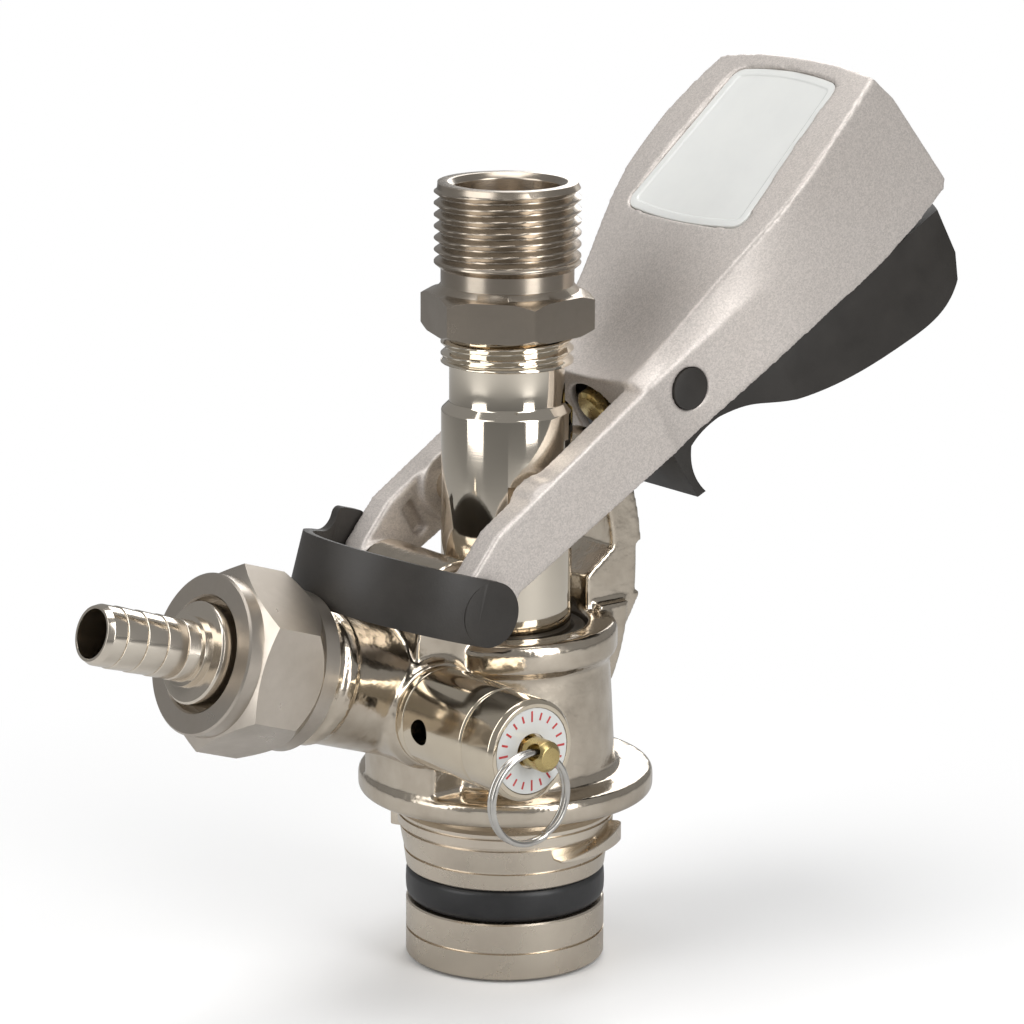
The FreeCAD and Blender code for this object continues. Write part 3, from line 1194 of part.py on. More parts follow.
def latch_spring():
    """Spring between the plunger and the wall inside the handle."""
    start = PLUNGER_U + PLUNGER_L + LATCH_SPRING_GAP
    spring = coil(LATCH_WIRE_R, LATCH_MEAN_R, start, LATCH_STOP_U - RUNNING, 5)
    return on_lever(along(spring, V(0, 0, PLUNGER_V), X))


PIECES = (
    neck_fitting, neck_o_ring, keg_seal, body_casting, probe_seal, probe_guide, hinge_pin,
    pin_strap, gas_check_valve, gas_washer, gas_tailpiece, gas_union_nut, relief_body, relief_cap,
    relief_label, relief_seal, relief_stem, relief_knob, relief_spring, pull_ring, probe_tube,
    probe_tip_seal, check_ball, ball_retainer, outlet_washer, outlet_adapter, lever, handle_badge,
    drive_pins, trigger, latch_plunger, latch_dowel, latch_spring)

os.makedirs("parts", exist_ok=True)
for piece in PIECES:
    shape = piece()
    shape.exportStep("parts/" + piece.__name__ + ".step")
    print(piece.__name__, len(shape.Solids), round(shape.Volume, 2), shape.isValid())
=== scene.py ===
"""Keg coupler, dressed for its product view.

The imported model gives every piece's place. Turned fittings are spun again here with their threads
and flats, the castings get their soft edges, and each surface gets its finish. Lengths in this
file are millimetres until they reach Blender, where they are turned into metres.
"""

from __future__ import annotations

import logging
import math
from collections.abc import Callable
from dataclasses import dataclass
from enum import Enum
from functools import cache

import bmesh
import bpy
from mathutils import Matrix, Vector


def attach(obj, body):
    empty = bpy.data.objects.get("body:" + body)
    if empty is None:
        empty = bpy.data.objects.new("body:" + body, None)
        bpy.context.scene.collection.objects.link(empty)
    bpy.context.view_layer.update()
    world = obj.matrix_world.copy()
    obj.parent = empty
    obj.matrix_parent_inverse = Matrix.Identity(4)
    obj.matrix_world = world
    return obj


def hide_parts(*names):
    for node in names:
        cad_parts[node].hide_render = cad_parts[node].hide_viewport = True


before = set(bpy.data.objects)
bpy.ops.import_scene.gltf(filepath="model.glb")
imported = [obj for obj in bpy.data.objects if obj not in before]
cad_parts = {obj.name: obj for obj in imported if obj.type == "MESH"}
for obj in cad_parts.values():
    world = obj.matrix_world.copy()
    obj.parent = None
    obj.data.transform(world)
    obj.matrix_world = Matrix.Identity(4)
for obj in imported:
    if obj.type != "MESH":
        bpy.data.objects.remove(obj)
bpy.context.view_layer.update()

LOG = logging.getLogger("keg_coupler")
MM = 0.001

Colour = tuple[float, float, float]
Outline = list[tuple[float, float]]
Socket = bpy.types.NodeSocket
Tree = bpy.types.NodeTree
Mesh = bmesh.types.BMesh


class Nodes:
    """A node tree under construction, with short calls for what this file uses."""

    def __init__(self, tree: Tree) -> None:
        """Starts on an empty tree."""
        self.tree = tree
        tree.nodes.clear()

    def add(self, kind: str, inputs: dict | None = None, **settings: object) -> bpy.types.Node:
        """Adds a node.

        Args:
            kind: The node's bl_idname.
            inputs: Socket name or index to a value, or to the socket that feeds it.
            **settings: Properties to set on the node first.

        Returns:
            The new node.
        """
        node = self.tree.nodes.new(kind)
        for name, value in settings.items():
            setattr(node, name, value)
        for name, value in (inputs or {}).items():
            socket = node.inputs[name]
            if isinstance(value, Socket):
                self.tree.links.new(value, socket)
            else:
                socket.default_value = value
        return node

    def math(self, operation: str, *values: object, clamp: bool = False) -> Socket:
        """Adds a Math node on numbers or sockets, and returns its result."""
        return self.add("ShaderNodeMath", dict(enumerate(values)), operation=operation,
                        use_clamp=clamp).outputs[0]

    def vector(self, operation: str, *values: object) -> bpy.types.Node:
        """Adds a Vector Math node on vectors or sockets."""
        return self.add("ShaderNodeVectorMath", dict(enumerate(values)), operation=operation)


class Along(Enum):
    """The line that a turned piece is spun about."""

    PROBE = "probe"
    GAS = "gas"
    RELIEF = "relief"

    def matrix(self) -> Matrix:
        """The placing of a piece drawn about Z, its Z being the distance along the line."""
        turn = UP.rotation_difference(Vector(AXES[self][1]))
        return Matrix.Translation(self.at(0.0) * MM) @ turn.to_matrix().to_4x4()

    def at(self, distance: float) -> Vector:
        """The point at a distance along the line, both in millimetres."""
        start, direction = AXES[self]
        return Vector(start) + Vector(direction) * distance

    def unturn(self) -> tuple[float, float, float]:
        """The Euler angles that bring the line back to Z, for a finish that follows it."""
        return tuple(Vector(AXES[self][1]).rotation_difference(UP).to_euler())


UP = Vector((0, 0, 1))
GAS_RISE = math.radians(18.2)
LEVER_REST = 30.2
AXES = {
    Along.PROBE: ((0, 0, 0), (0, 0, 1)),
    Along.GAS: ((0, 0, 39.6), (-math.cos(GAS_RISE), 0, math.sin(GAS_RISE))),
    Along.RELIEF: ((-21.4, 0, 45.2), (0, -1, 0)),
}


def rotation(degrees: float, axis: str) -> Matrix:
    """A turn about one axis of the frame."""
    return Matrix.Rotation(math.radians(degrees), 4, axis)


# Finishes


@dataclass(frozen=True)
class Grain:
    """Fine unevenness of a surface.

    Attributes:
        size: Size of the largest grains, in millimetres.
        depth: Height of the grains, in millimetres.
        stretch: Scale of the pattern along x, y and z of its own axes.
        detail: Octaves of finer grains.
    """

    size: float
    depth: float
    stretch: tuple[float, float, float] = (1.0, 1.0, 1.0)
    detail: float = 3.0


@dataclass(frozen=True)
class Finish:
    """A surface finish made of nodes on object coordinates.

    Attributes:
        name: The material's name.
        slot: The record's material slot that it belongs to; not used.
        colour: Main colour.
        shade: Second colour, which the first runs into in patches.
        metallic: 1 for bare metal, 0 for paint or plastic.
        roughness: Lowest and highest roughness over the surface.
        patch: Size of the patches of colour and roughness, in millimetres.
        grains: Layers of unevenness, coarse ones first.
        along: The line that turning marks go round.
        coat: Strength of a clear coat.
        sparkle: Share of brightness that metal flakes add or take.
    """

    name: str
    slot: str
    colour: Colour
    shade: Colour
    metallic: float
    roughness: tuple[float, float]
    patch: float
    grains: tuple[Grain, ...]
    along: Along = Along.PROBE
    coat: float = 0.0
    sparkle: float = 0.0

    @cache
    def material(self) -> bpy.types.Material:
        """Builds the material, once for each finish.

        Returns:
            The material.
        """
        material = bpy.data.materials.new(f"{self.name}_finish")
        material.use_nodes = True
        nodes = Nodes(material.node_tree)
        place = nodes.add("ShaderNodeTexCoord").outputs["Object"]
        turned = nodes.add("ShaderNodeMapping", {"Vector": place, "Rotation": self.along.unturn()})
        patches = nodes.add("ShaderNodeTexNoise", {
            "Vector": place, "Scale": 1 / (self.patch * MM), "Detail": 4.0, "Roughness": 0.6})
        share = nodes.add("ShaderNodeMapRange", {
            "Value": patches.outputs["Fac"], "From Min": 0.35, "From Max": 0.65})
        colour = nodes.add("ShaderNodeMix", {
            0: share.outputs[0], 6: (*self.colour, 1), 7: (*self.shade, 1)},
            data_type="RGBA").outputs[2]
        if self.sparkle:
            colour = self.flakes(nodes, place, colour)
        low, high = self.roughness
        rough = nodes.add("ShaderNodeMapRange", {
            "Value": patches.outputs["Fac"], "From Min": 0.3, "From Max": 0.7,
            "To Min": low, "To Max": high})
        shader = nodes.add("ShaderNodeBsdfPrincipled", {
            "Base Color": colour, "Roughness": rough.outputs[0], "Metallic": self.metallic,
            "Normal": self.relief(nodes, turned.outputs[0]), "Coat Weight": self.coat,
            "Coat Roughness": 0.12})
        nodes.add("ShaderNodeOutputMaterial", {"Surface": shader.outputs[0]})
        return material

    def flakes(self, nodes: Nodes, place: Socket, colour: Socket) -> Socket:
        """Metal flakes of a silver paint, each a little lighter or darker.

        Args:
            nodes: The tree's builder.
            place: Object coordinates.
            colour: The colour that the flakes change.

        Returns:
            The changed colour.
        """
        cells = nodes.add("ShaderNodeTexVoronoi", {"Vector": place, "Scale": 1 / (FLAKE_SIZE * MM)})
        tint = nodes.add("ShaderNodeSeparateColor", {0: cells.outputs["Color"]})
        gain = nodes.add("ShaderNodeMapRange", {
            "Value": tint.outputs[0], "To Min": 1 - self.sparkle, "To Max": 1 + self.sparkle})
        return nodes.vector("MULTIPLY", colour, gain.outputs[0]).outputs[0]

    def relief(self, nodes: Nodes, place: Socket) -> Socket:
        """Stacks the layers of unevenness.

        Args:
            nodes: The tree's builder.
            place: Coordinates with the turning axis along Z.

        Returns:
            The normal.
        """
        normal = {}
        for grain in self.grains:
            mapped = nodes.add("ShaderNodeMapping", {"Vector": place, "Scale": grain.stretch})
            noise = nodes.add("ShaderNodeTexNoise", {
                "Vector": mapped.outputs[0], "Scale": 1 / (grain.size * MM),
                "Detail": grain.detail})
            bump = nodes.add("ShaderNodeBump", {
                "Height": noise.outputs["Fac"], "Distance": grain.depth * MM, "Strength": 1.0,
                **normal})
            normal = {"Normal": bump.outputs[0]}
        return normal["Normal"]


FLAKE_SIZE = 0.22
TURNING_MARKS = Grain(1.0, 0.003, (0.01, 0.01, 2.4), 1.0)
FINE_TURNING = Grain(1.0, 0.0012, (0.01, 0.01, 2.4), 1.0)
CAST_PITS = Grain(2.2, 0.10, detail=2.0)
CAST_WAVES = Grain(7.0, 0.25, detail=1.0)

TURNED_STEEL = Finish("turned_steel", "turned_steel", (0.76, 0.68, 0.57), (0.69, 0.61, 0.51), 1.0,
                      (0.22, 0.32), 9.0, (TURNING_MARKS,))
GAS_STEEL = Finish("turned_steel_gas", "turned_steel", (0.78, 0.71, 0.61), (0.70, 0.63, 0.54), 1.0,
                   (0.12, 0.20), 9.0, (TURNING_MARKS,), Along.GAS)
PROBE_STEEL = Finish("probe_steel", "probe_steel", (0.80, 0.73, 0.62), (0.75, 0.68, 0.575), 1.0,
                     (0.05, 0.09), 14.0, (FINE_TURNING,))
NUT_STEEL = Finish("nut_steel", "nut_steel", (0.57, 0.515, 0.45), (0.49, 0.44, 0.38), 1.0,
                   (0.26, 0.36), 7.0, (Grain(1.0, 0.004, (0.02, 0.02, 3.0)),), Along.GAS)
OUTLET_STEEL = Finish("outlet_steel", "turned_steel", (0.48, 0.42, 0.35), (0.42, 0.365, 0.30), 1.0,
                      (0.18, 0.28), 7.0, (TURNING_MARKS,))
CAST_NICKEL = Finish("cast_nickel", "nickel_casting", (0.66, 0.585, 0.485), (0.56, 0.49, 0.40),
                     1.0, (0.12, 0.22), 5.0, (CAST_WAVES, CAST_PITS))
SLEEVE_NICKEL = Finish("sleeve_nickel", "nickel_sleeve", (0.77, 0.68, 0.54), (0.71, 0.62, 0.49),
                       1.0, (0.10, 0.17), 12.0, (FINE_TURNING,), Along.RELIEF)
SILVER_PAINT = Finish("silver_paint", "silver_paint", (0.64, 0.59, 0.55), (0.60, 0.55, 0.51), 0.45,
                      (0.40, 0.50), 16.0, (Grain(0.5, 0.012),), sparkle=0.13)
BLACK_PLASTIC = Finish("black_plastic", "black_plastic", (0.022, 0.019, 0.016),
                       (0.031, 0.027, 0.023), 0.0, (0.42, 0.52), 8.0, (Grain(0.35, 0.015),))
GREY_PLASTIC = Finish("grey_plastic", "grey_plastic", (0.42, 0.42, 0.41), (0.38, 0.38, 0.37), 0.0,
                      (0.40, 0.50), 6.0, (Grain(0.5, 0.01),))
WHITE_PLATE = Finish("white_plate", "white_plastic", (0.74, 0.745, 0.72), (0.71, 0.715, 0.695),
                     0.0, (0.16, 0.22), 10.0, (Grain(3.0, 0.004),), coat=0.3)
RED_PRINT = Finish("red_print", "white_plastic", (0.60, 0.06, 0.06), (0.50, 0.05, 0.05), 0.0,
                   (0.30, 0.40), 2.0, (Grain(0.4, 0.004),))
BLACK_RUBBER = Finish("black_rubber", "black_rubber", (0.018, 0.018, 0.019), (0.026, 0.026, 0.027),
                      0.0, (0.32, 0.46), 5.0, (Grain(0.6, 0.012),))
FIBRE = Finish("fibre", "fibre", (0.50, 0.36, 0.25), (0.42, 0.30, 0.20), 0.0, (0.6, 0.8), 2.0,
               (Grain(0.4, 0.03),))
BRASS = Finish("machined_brass", "brass", (0.62, 0.49, 0.22), (0.52, 0.40, 0.18), 1.0, (0.20, 0.34),
               3.0, (Grain(0.6, 0.006, (0.2, 0.2, 3.0)),), Along.RELIEF)
SPRING_WIRE = Finish("spring_wire", "spring_steel", (0.64, 0.62, 0.58), (0.55, 0.53, 0.50), 1.0,
                     (0.14, 0.24), 3.0, (Grain(0.5, 0.003),))

# Mesh building

NEARLY_STRAIGHT = math.radians(176)


def softened(outline: Outline, radius: float, steps: int = 3) -> Outline:
    """Rounds the corners of a closed outline.

    Args:
        outline: Its corners, in millimetres.
        radius: Largest distance from a corner at which its rounding starts.
        steps: Points added along each rounding.

    Returns:
        The rounded outline.
    """
    result = []
    count = len(outline)
    for index, corner in enumerate(outline):
        here = Vector(corner)
        before = Vector(outline[index - 1]) - here
        after = Vector(outline[(index + 1) % count]) - here
        reach = min(radius, 0.4 * before.length, 0.4 * after.length)
        if abs(here.x) < 1e-9 or before.angle(after) > NEARLY_STRAIGHT:
            result.append(corner)
            continue
        start = here + before.normalized() * reach
        end = here + after.normalized() * reach
        for step in range(steps + 1):
            share = step / steps
            low = start.lerp(here, share)
            high = here.lerp(end, share)
            result.append(tuple(low.lerp(high, share)))
    return result


def spun(outline_at: Callable[[float], Outline], steps: int, start: float = 0.0) -> Mesh:
    """Closed mesh about Z whose outline may change with the angle.

    Args:
        outline_at: Gives the closed (radius, z) outline at an angle in radians. It has as many
            points at every angle.
        steps: Number of outlines round the axis.
        start: Angle of the first one, in radians.

    Returns:
        The mesh, in millimetres.
    """
    mesh = bmesh.new()
    rings = []
    for index in range(steps):
        angle = start + 2 * math.pi * index / steps
        cos, sin = math.cos(angle), math.sin(angle)
        rings.append([mesh.verts.new((r * cos, r * sin, z)) for r, z in outline_at(angle)])
    for index, ring in enumerate(rings):
        after = rings[(index + 1) % steps]
        for place in range(len(ring)):
            mesh.faces.new((ring[place], after[place], after[place - 1], ring[place - 1]))
    bmesh.ops.remove_doubles(mesh, verts=mesh.verts, dist=1e-5)
    bmesh.ops.dissolve_degenerate(mesh, edges=mesh.edges, dist=1e-6)
    return mesh


def turned(outline: Outline, soft: float = 0.12, steps: int = 180) -> Mesh:
    """Closed mesh of one outline of (radius, z) corners, softened and turned about Z."""
    rounded = softened(outline, soft)
    return spun(lambda angle: rounded, steps)


def hexagon_reach(across: float, turn: float, angle: float) -> float:
    """Distance from the axis to a hexagon's side at an angle; one corner is at the turn."""
    sixth = math.pi / 3
    return across / 2 / math.cos((angle - turn) % sixth - sixth / 2)


class Piece:
    """One mesh object of the scene, from its raw mesh to its place on a body."""

    def __init__(self, name: str, finish: Finish, mesh: Mesh | None = None) -> None:
        """Makes the object.

        Args:
            name: The object's name.
            finish: Its finish.
            mesh: Its mesh in millimetres, which is used up.
        """
        data = bpy.data.meshes.new(name)
        if mesh:
            bmesh.ops.recalc_face_normals(mesh, faces=mesh.faces)
            mesh.to_mesh(data)
            mesh.free()
            data.transform(Matrix.Scale(MM, 4))
        self.object = bpy.data.objects.new(name, data)
        bpy.context.scene.collection.objects.link(self.object)
        self.finish = finish

    @classmethod
    def copied(cls, name: str, finish: Finish, node: str) -> Piece:
        """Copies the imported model's mesh of a node, joined corner to corner.

        Args:
            name: The new object's name.
            finish: Its finish.
            node: The node that is copied.

        Returns:
            The piece.
        """
        joined = bmesh.new()
        joined.from_mesh(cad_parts[node].data)
        bmesh.ops.remove_doubles(joined, verts=joined.verts, dist=0.002 * MM)
        bmesh.ops.scale(joined, verts=joined.verts, vec=(1 / MM,) * 3)
        return cls(name, finish, joined)

    def placed(self, matrix: Matrix) -> Piece:
        """Moves the mesh, and leaves the object at the origin."""
        self.object.data.transform(matrix)
        return self

    def modified(self, kind: str, **settings: object) -> Piece:
        """Runs a modifier and keeps its result as a plain mesh.

        Args:
            kind: The modifier's type.
            **settings: Its properties.

        Returns:
            The piece itself.
        """
        modifier = self.object.modifiers.new(kind.lower(), kind)
        for name, value in settings.items():
            setattr(modifier, name, value)
        return self.settled()

    def grown(self, tree: Tree, **inputs: object) -> Piece:
        """Runs a geometry tree on the mesh.

        Args:
            tree: The tree.
            **inputs: Values for its named inputs.

        Returns:
            The piece itself.
        """
        modifier = self.object.modifiers.new(tree.name, "NODES")
        modifier.node_group = tree
        for item in tree.interface.items_tree:
            if item.item_type == "SOCKET" and item.in_out == "INPUT" and item.name in inputs:
                modifier[item.identifier] = inputs[item.name]
        return self.settled()

    def settled(self) -> Piece:
        """Keeps what the modifiers make as a plain mesh and takes them off.

        Returns:
            The piece itself.
        """
        graph = bpy.context.evaluated_depsgraph_get()
        graph.update()
        mesh = bpy.data.meshes.new_from_object(self.object.evaluated_get(graph))
        self.object.modifiers.clear()
        self.object.data = mesh
        return self

    def cut(self, *others: Piece) -> Piece:
        """Cuts other pieces out of this one and drops them.

        Args:
            *others: The pieces.

        Returns:
            The piece itself.
        """
        for other in others:
            self.modified("BOOLEAN", operation="DIFFERENCE", solver="EXACT", object=other.object)
            bpy.data.objects.remove(other.object, do_unlink=True)
        return self

    def cast(self, voxel: float, passes: int) -> Piece:
        """Rounds every edge as on a casting, on a grid that is smoothed a few times."""
        self.modified("REMESH", mode="VOXEL", voxel_size=voxel * MM, use_smooth_shade=True)
        return self.modified("SMOOTH", factor=0.5, iterations=passes)

    def bevelled(self, width: float, segments: int = 3, angle: float = 30.0) -> Piece:
        """Rounds the edges that are sharper than an angle, given in degrees."""
        return self.modified("BEVEL", width=width * MM, segments=segments, limit_method="ANGLE",
                             angle_limit=math.radians(angle))

    def on(self, body: str, *replaced: str, sharp: float = 32.0) -> None:
        """Gives the piece its shading and material, and hands it to a body.

        Args:
            body: The body that it rides on.
            *replaced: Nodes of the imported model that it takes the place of.
            sharp: Angle above which an edge is kept sharp, in degrees.
        """
        data = self.object.data
        data.materials.clear()
        data.materials.append(self.finish.material())
        edges = bmesh.new()
        edges.from_mesh(data)
        for face in edges.faces:
            face.smooth = True
            face.material_index = 0
        for edge in edges.edges:
            edge.smooth = edge.calc_face_angle(0.0) < math.radians(sharp)
        edges.to_mesh(data)
        edges.free()
        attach(self.object, body)
        if replaced:
            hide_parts(*replaced)
        LOG.info("%s: %d faces on %s", self.object.name, len(data.polygons), body)


def dress(finish: Finish, *nodes: str) -> None:
    """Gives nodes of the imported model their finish.

    Args:
        finish: The finish.
        *nodes: The nodes.
    """
    for name in nodes:
        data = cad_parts[name].data
        data.materials.clear()
        data.materials.append(finish.material())
        LOG.info("%s: %s", name, finish.name)


# Geometry trees


class GeometryTree:
    """A geometry node tree with named inputs that ends in one realised, dressed mesh."""

    def __init__(self, name: str, finish: Finish, **inputs: float) -> None:
        """Starts the tree.

        Args:
            name: The tree's name.
            finish: Finish of its result.
            **inputs: Names and standing values of its number inputs.
        """
        self.tree = bpy.data.node_groups.new(name, "GeometryNodeTree")
        sockets = self.tree.interface
        for way in ("INPUT", "OUTPUT"):
            sockets.new_socket("Geometry", in_out=way, socket_type="NodeSocketGeometry")
        for key, value in inputs.items():
            socket = sockets.new_socket(key, in_out="INPUT", socket_type="NodeSocketFloat")
            socket.default_value = value
        self.nodes = Nodes(self.tree)
        self.entry = self.nodes.add("NodeGroupInput")
        self.finish = finish

    def value(self, name: str) -> Socket:
        """The socket of a named input."""
        return self.entry.outputs[name]

    def ended(self, geometry: Socket) -> Tree:
        """Closes the tree.

        Args:
            geometry: What it gives out.

        Returns:
            The tree.
        """
        real = self.nodes.add("GeometryNodeRealizeInstances", {"Geometry": geometry})
        dressed = self.nodes.add("GeometryNodeSetMaterial", {
            "Geometry": real.outputs[0], "Material": self.finish.material()})
        self.nodes.add("NodeGroupOutput", {"Geometry": dressed.outputs[0]})
        return self.tree


def thread_tree(finish: Finish) -> Tree:
    """Cuts a V thread into the outer side of a turned mesh between two heights on Z.

    Args:
        finish: Finish of the threaded piece.

    Returns:
        The tree, with inputs for pitch, depth, start, end, fade and the least radius it works on.
    """
    tree = GeometryTree("thread", finish, Pitch=1.814 * MM, Depth=1.0 * MM, Start=0.0, End=0.01,
                        Fade=0.6 * MM, Least=0.01)
    nodes = tree.nodes
    place = nodes.add("GeometryNodeInputPosition").outputs[0]
    x, y, z = nodes.add("ShaderNodeSeparateXYZ", {0: place}).outputs
    flat = nodes.add("ShaderNodeCombineXYZ", {0: x, 1: y, 2: 0.0}).outputs[0]
    radius = nodes.vector("LENGTH", flat).outputs["Value"]
    around = nodes.math("DIVIDE", nodes.math("ARCTAN2", y, x), 2 * math.pi)
    turns = nodes.math("SUBTRACT", nodes.math("DIVIDE", z, tree.value("Pitch")), around)
    wave = nodes.math("PINGPONG", turns, 0.5)
    valley = nodes.math("SUBTRACT", 1.0, nodes.math("MULTIPLY", wave, 2.0))
    steepness, crest = 1.25, 0.12
    shaped = nodes.math("SUBTRACT", nodes.math("MULTIPLY", valley, steepness), crest, clamp=True)
    fade = tree.value("Fade")
    above = nodes.math("DIVIDE", nodes.math("SUBTRACT", z, tree.value("Start")), fade, clamp=True)
    below = nodes.math("DIVIDE", nodes.math("SUBTRACT", tree.value("End"), z), fade, clamp=True)
    outer = nodes.math("GREATER_THAN", radius, tree.value("Least"))
    share = nodes.math("MULTIPLY", nodes.math("MULTIPLY", above, below), outer)
    drop = nodes.math("MULTIPLY", nodes.math("MULTIPLY", shaped, share), tree.value("Depth"))
    outward = nodes.vector("NORMALIZE", flat).outputs[0]
    sunk = nodes.math("MULTIPLY", drop, -1.0)
    move = nodes.add("ShaderNodeVectorMath", {0: outward, "Scale": sunk}, operation="SCALE")
    moved = nodes.add("GeometryNodeSetPosition", {
        "Geometry": tree.value("Geometry"), "Offset": move.outputs[0]})
    return tree.ended(moved.outputs[0])


# Sub-assemblies


@dataclass(frozen=True)
class Neck:
    """The turned neck with its locking lugs, its thick ring seal and the keg seal.

    Attributes:
        radius: Radius of the foot.
        groove_low: Height of the seal groove's lower side.
        groove_top: Height of its upper side.
        groove_floor: Radius of its floor.
        cone_low: Height where the cone starts.
        cone_top: Height where it meets the collar.
        collar: Radius of the collar.
        collar_top: Height of the collar's top.
        throat: Radius under the body's flange.
        flange: Height of the body's lower face.
        thread: Radius of the thread into the body.
        top: Height of the thread's end.
        lug: Outer radius of the lugs.
        lug_low: Height of their lower side.
        lug_rise: How far a lug's top rises over its length.
        lug_start: Angle of the first lug's start, in degrees.
        lug_span: Length of a lug, in degrees.
        lug_end: Length of its rounded ends, in degrees.
        line: Width of the fine lines turned round the neck.
        line_depth: Their depth.
    """

    radius: float = 15.9
    groove_low: float = 9.2
    groove_top: float = 14.7
    groove_floor: float = 12.95
    cone_low: float = 15.6
    cone_top: float = 21.5
    collar: float = 17.25
    collar_top: float = 24.8
    throat: float = 15.0
    flange: float = 27.3
    thread: float = 14.4
    top: float = 32.9
    lug: float = 18.9
    lug_low: float = 19.6
    lug_rise: float = 3.0
    lug_start: float = -100.0
    lug_span: float = 52.5
    lug_end: float = 2.2
    line: float = 0.3
    line_depth: float = 0.4

    def build(self) -> None:
        """Builds the pieces and rides them on the body."""
        Piece("neck_turned", TURNED_STEEL, self.fitting()).on("body", "neck_fitting")
        Piece("neck_ring_seal", BLACK_RUBBER, self.seal()).on("body", "neck_o_ring", sharp=60)
        dress(BLACK_RUBBER, "keg_seal")

    def cone_reach(self, z: float) -> float:
        """Outer radius of the cone, collar or throat.

        Args:
            z: The height that it is wanted at.

        Returns:
            The radius.
        """
        if z >= self.collar_top:
            return self.throat
        if z >= self.cone_top:
            return self.collar
        share = (z - self.cone_low) / (self.cone_top - self.cone_low)
        return self.radius + (self.collar - 0.3 - self.radius) * max(0.0, share)

    def lug_share(self, angle: float) -> tuple[float, float]:
        """The lug's shape round the neck.

        Args:
            angle: The angle, in radians.

        Returns:
            How far the lug stands out there, and how far along the lug that is, both from 0 to 1.
        """
        place = (math.degrees(angle) - self.lug_start) % 180.0
        edge = min(place, self.lug_span - place)
        out = min(1.0, max(0.0, edge / self.lug_end))
        along = place / self.lug_span if edge > 0 else 0.0
        return math.sqrt(1 - (1 - out) ** 2), along

    def groove(self, reach: float, z: float) -> Outline:
        """Outline of a fine line turned into a surface, from its lower edge up."""
        floor, top = reach - self.line_depth, z + self.line
        return [(reach, z - 0.05), (floor, z), (floor, top), (reach, top + 0.05)]

    def fitting(self) -> Mesh:
        """Turns the neck, with the lugs as a rise of its outline over two sectors.

        Returns:
            The mesh, in millimetres.
        """
        r, edge, low = self.radius, 0.25, self.lug_low
        cone_line, collar_line = 17.5, 23.5
        foot = [
            (12.8, 0), (r - edge, 0), (r, edge), *self.groove(r, 4.25), (r, self.groove_low - edge),
            (r - edge, self.groove_low), (self.groove_floor, self.groove_low),
            (self.groove_floor, self.groove_top), (r - edge, self.groove_top),
            (r, self.groove_top + edge), *self.groove(self.cone_reach(cone_line), cone_line)]
        collar = [
            *self.groove(self.collar, collar_line), (self.collar, self.collar_top - 0.5),
            (self.collar - 0.5, self.collar_top)]
        inside = [
            (self.throat, self.collar_top), (self.throat, self.flange), (self.thread, self.flange),
            (self.thread, self.top), (11.3, self.top), (11.3, 20.5), (9.8, 19.0), (9.8, 4.2),
            (12.8, 4.2)]

        def outline_at(angle: float) -> Outline:
            """The neck's outline, with the lug's rise in it.

            Args:
                angle: The angle, in radians.

            Returns:
                The outline.
            """
            out, along = self.lug_share(angle)
            high = low + 0.3 + (self.lug_rise - 0.3) * along
            base_low, base_high = self.cone_reach(low), self.cone_reach(high)
            reach_low = base_low + (self.lug - base_low) * out
            reach_high = base_high + (self.lug - base_high) * out
            soft = 0.12 * out
            lug = [(base_low, low), (reach_low - soft, low), (reach_low, low + soft),
                   (reach_high, high - soft), (reach_high - soft, high), (base_high, high)]
            rise = max(self.cone_top, high + 0.05)
            floor = self.cone_reach(rise - 0.01) - self.line_depth
            step = [(floor + self.line_depth, rise - 0.03), (floor, rise),
                    (floor, rise + self.line), (self.collar, rise + 2 * self.line)]
            return foot + lug + step + collar + inside

        return spun(outline_at, 360)

    def seal(self) -> Mesh:
        """Turns the ring seal, whose outer side is nearly flat.

        Returns:
            The mesh, in millimetres.
        """
        low, high, floor = self.groove_low + 0.1, self.groove_top - 0.1, self.groove_floor
        rim = self.radius + 0.05
        return turned([
            (floor, low), (rim - 0.9, low), (rim - 0.1, low + 1.0), (rim, (low + high) / 2),
            (rim - 0.1, high - 0.6), (rim - 0.6, high), (floor, high)], 0.9)


@dataclass(frozen=True)
class Body:
    """The plated casting and what is fixed in its top.

    Attributes:
        voxel: Grid size that the casting is remade with, in millimetres.
        passes: How often the grid is smoothed.
    """

    voxel: float = 0.36
    passes: int = 5

    def build(self) -> None:
        """Builds the casting and dresses the seal, the guide and the hinge pin."""
        casting = Piece.copied("casting", CAST_NICKEL, "body_casting")
        casting.cast(self.voxel, self.passes).on("body", "body_casting", sharp=60)
        dress(BLACK_RUBBER, "probe_seal")
        dress(BLACK_PLASTIC, "probe_guide")
        dress(TURNED_STEEL, "hinge_pin")


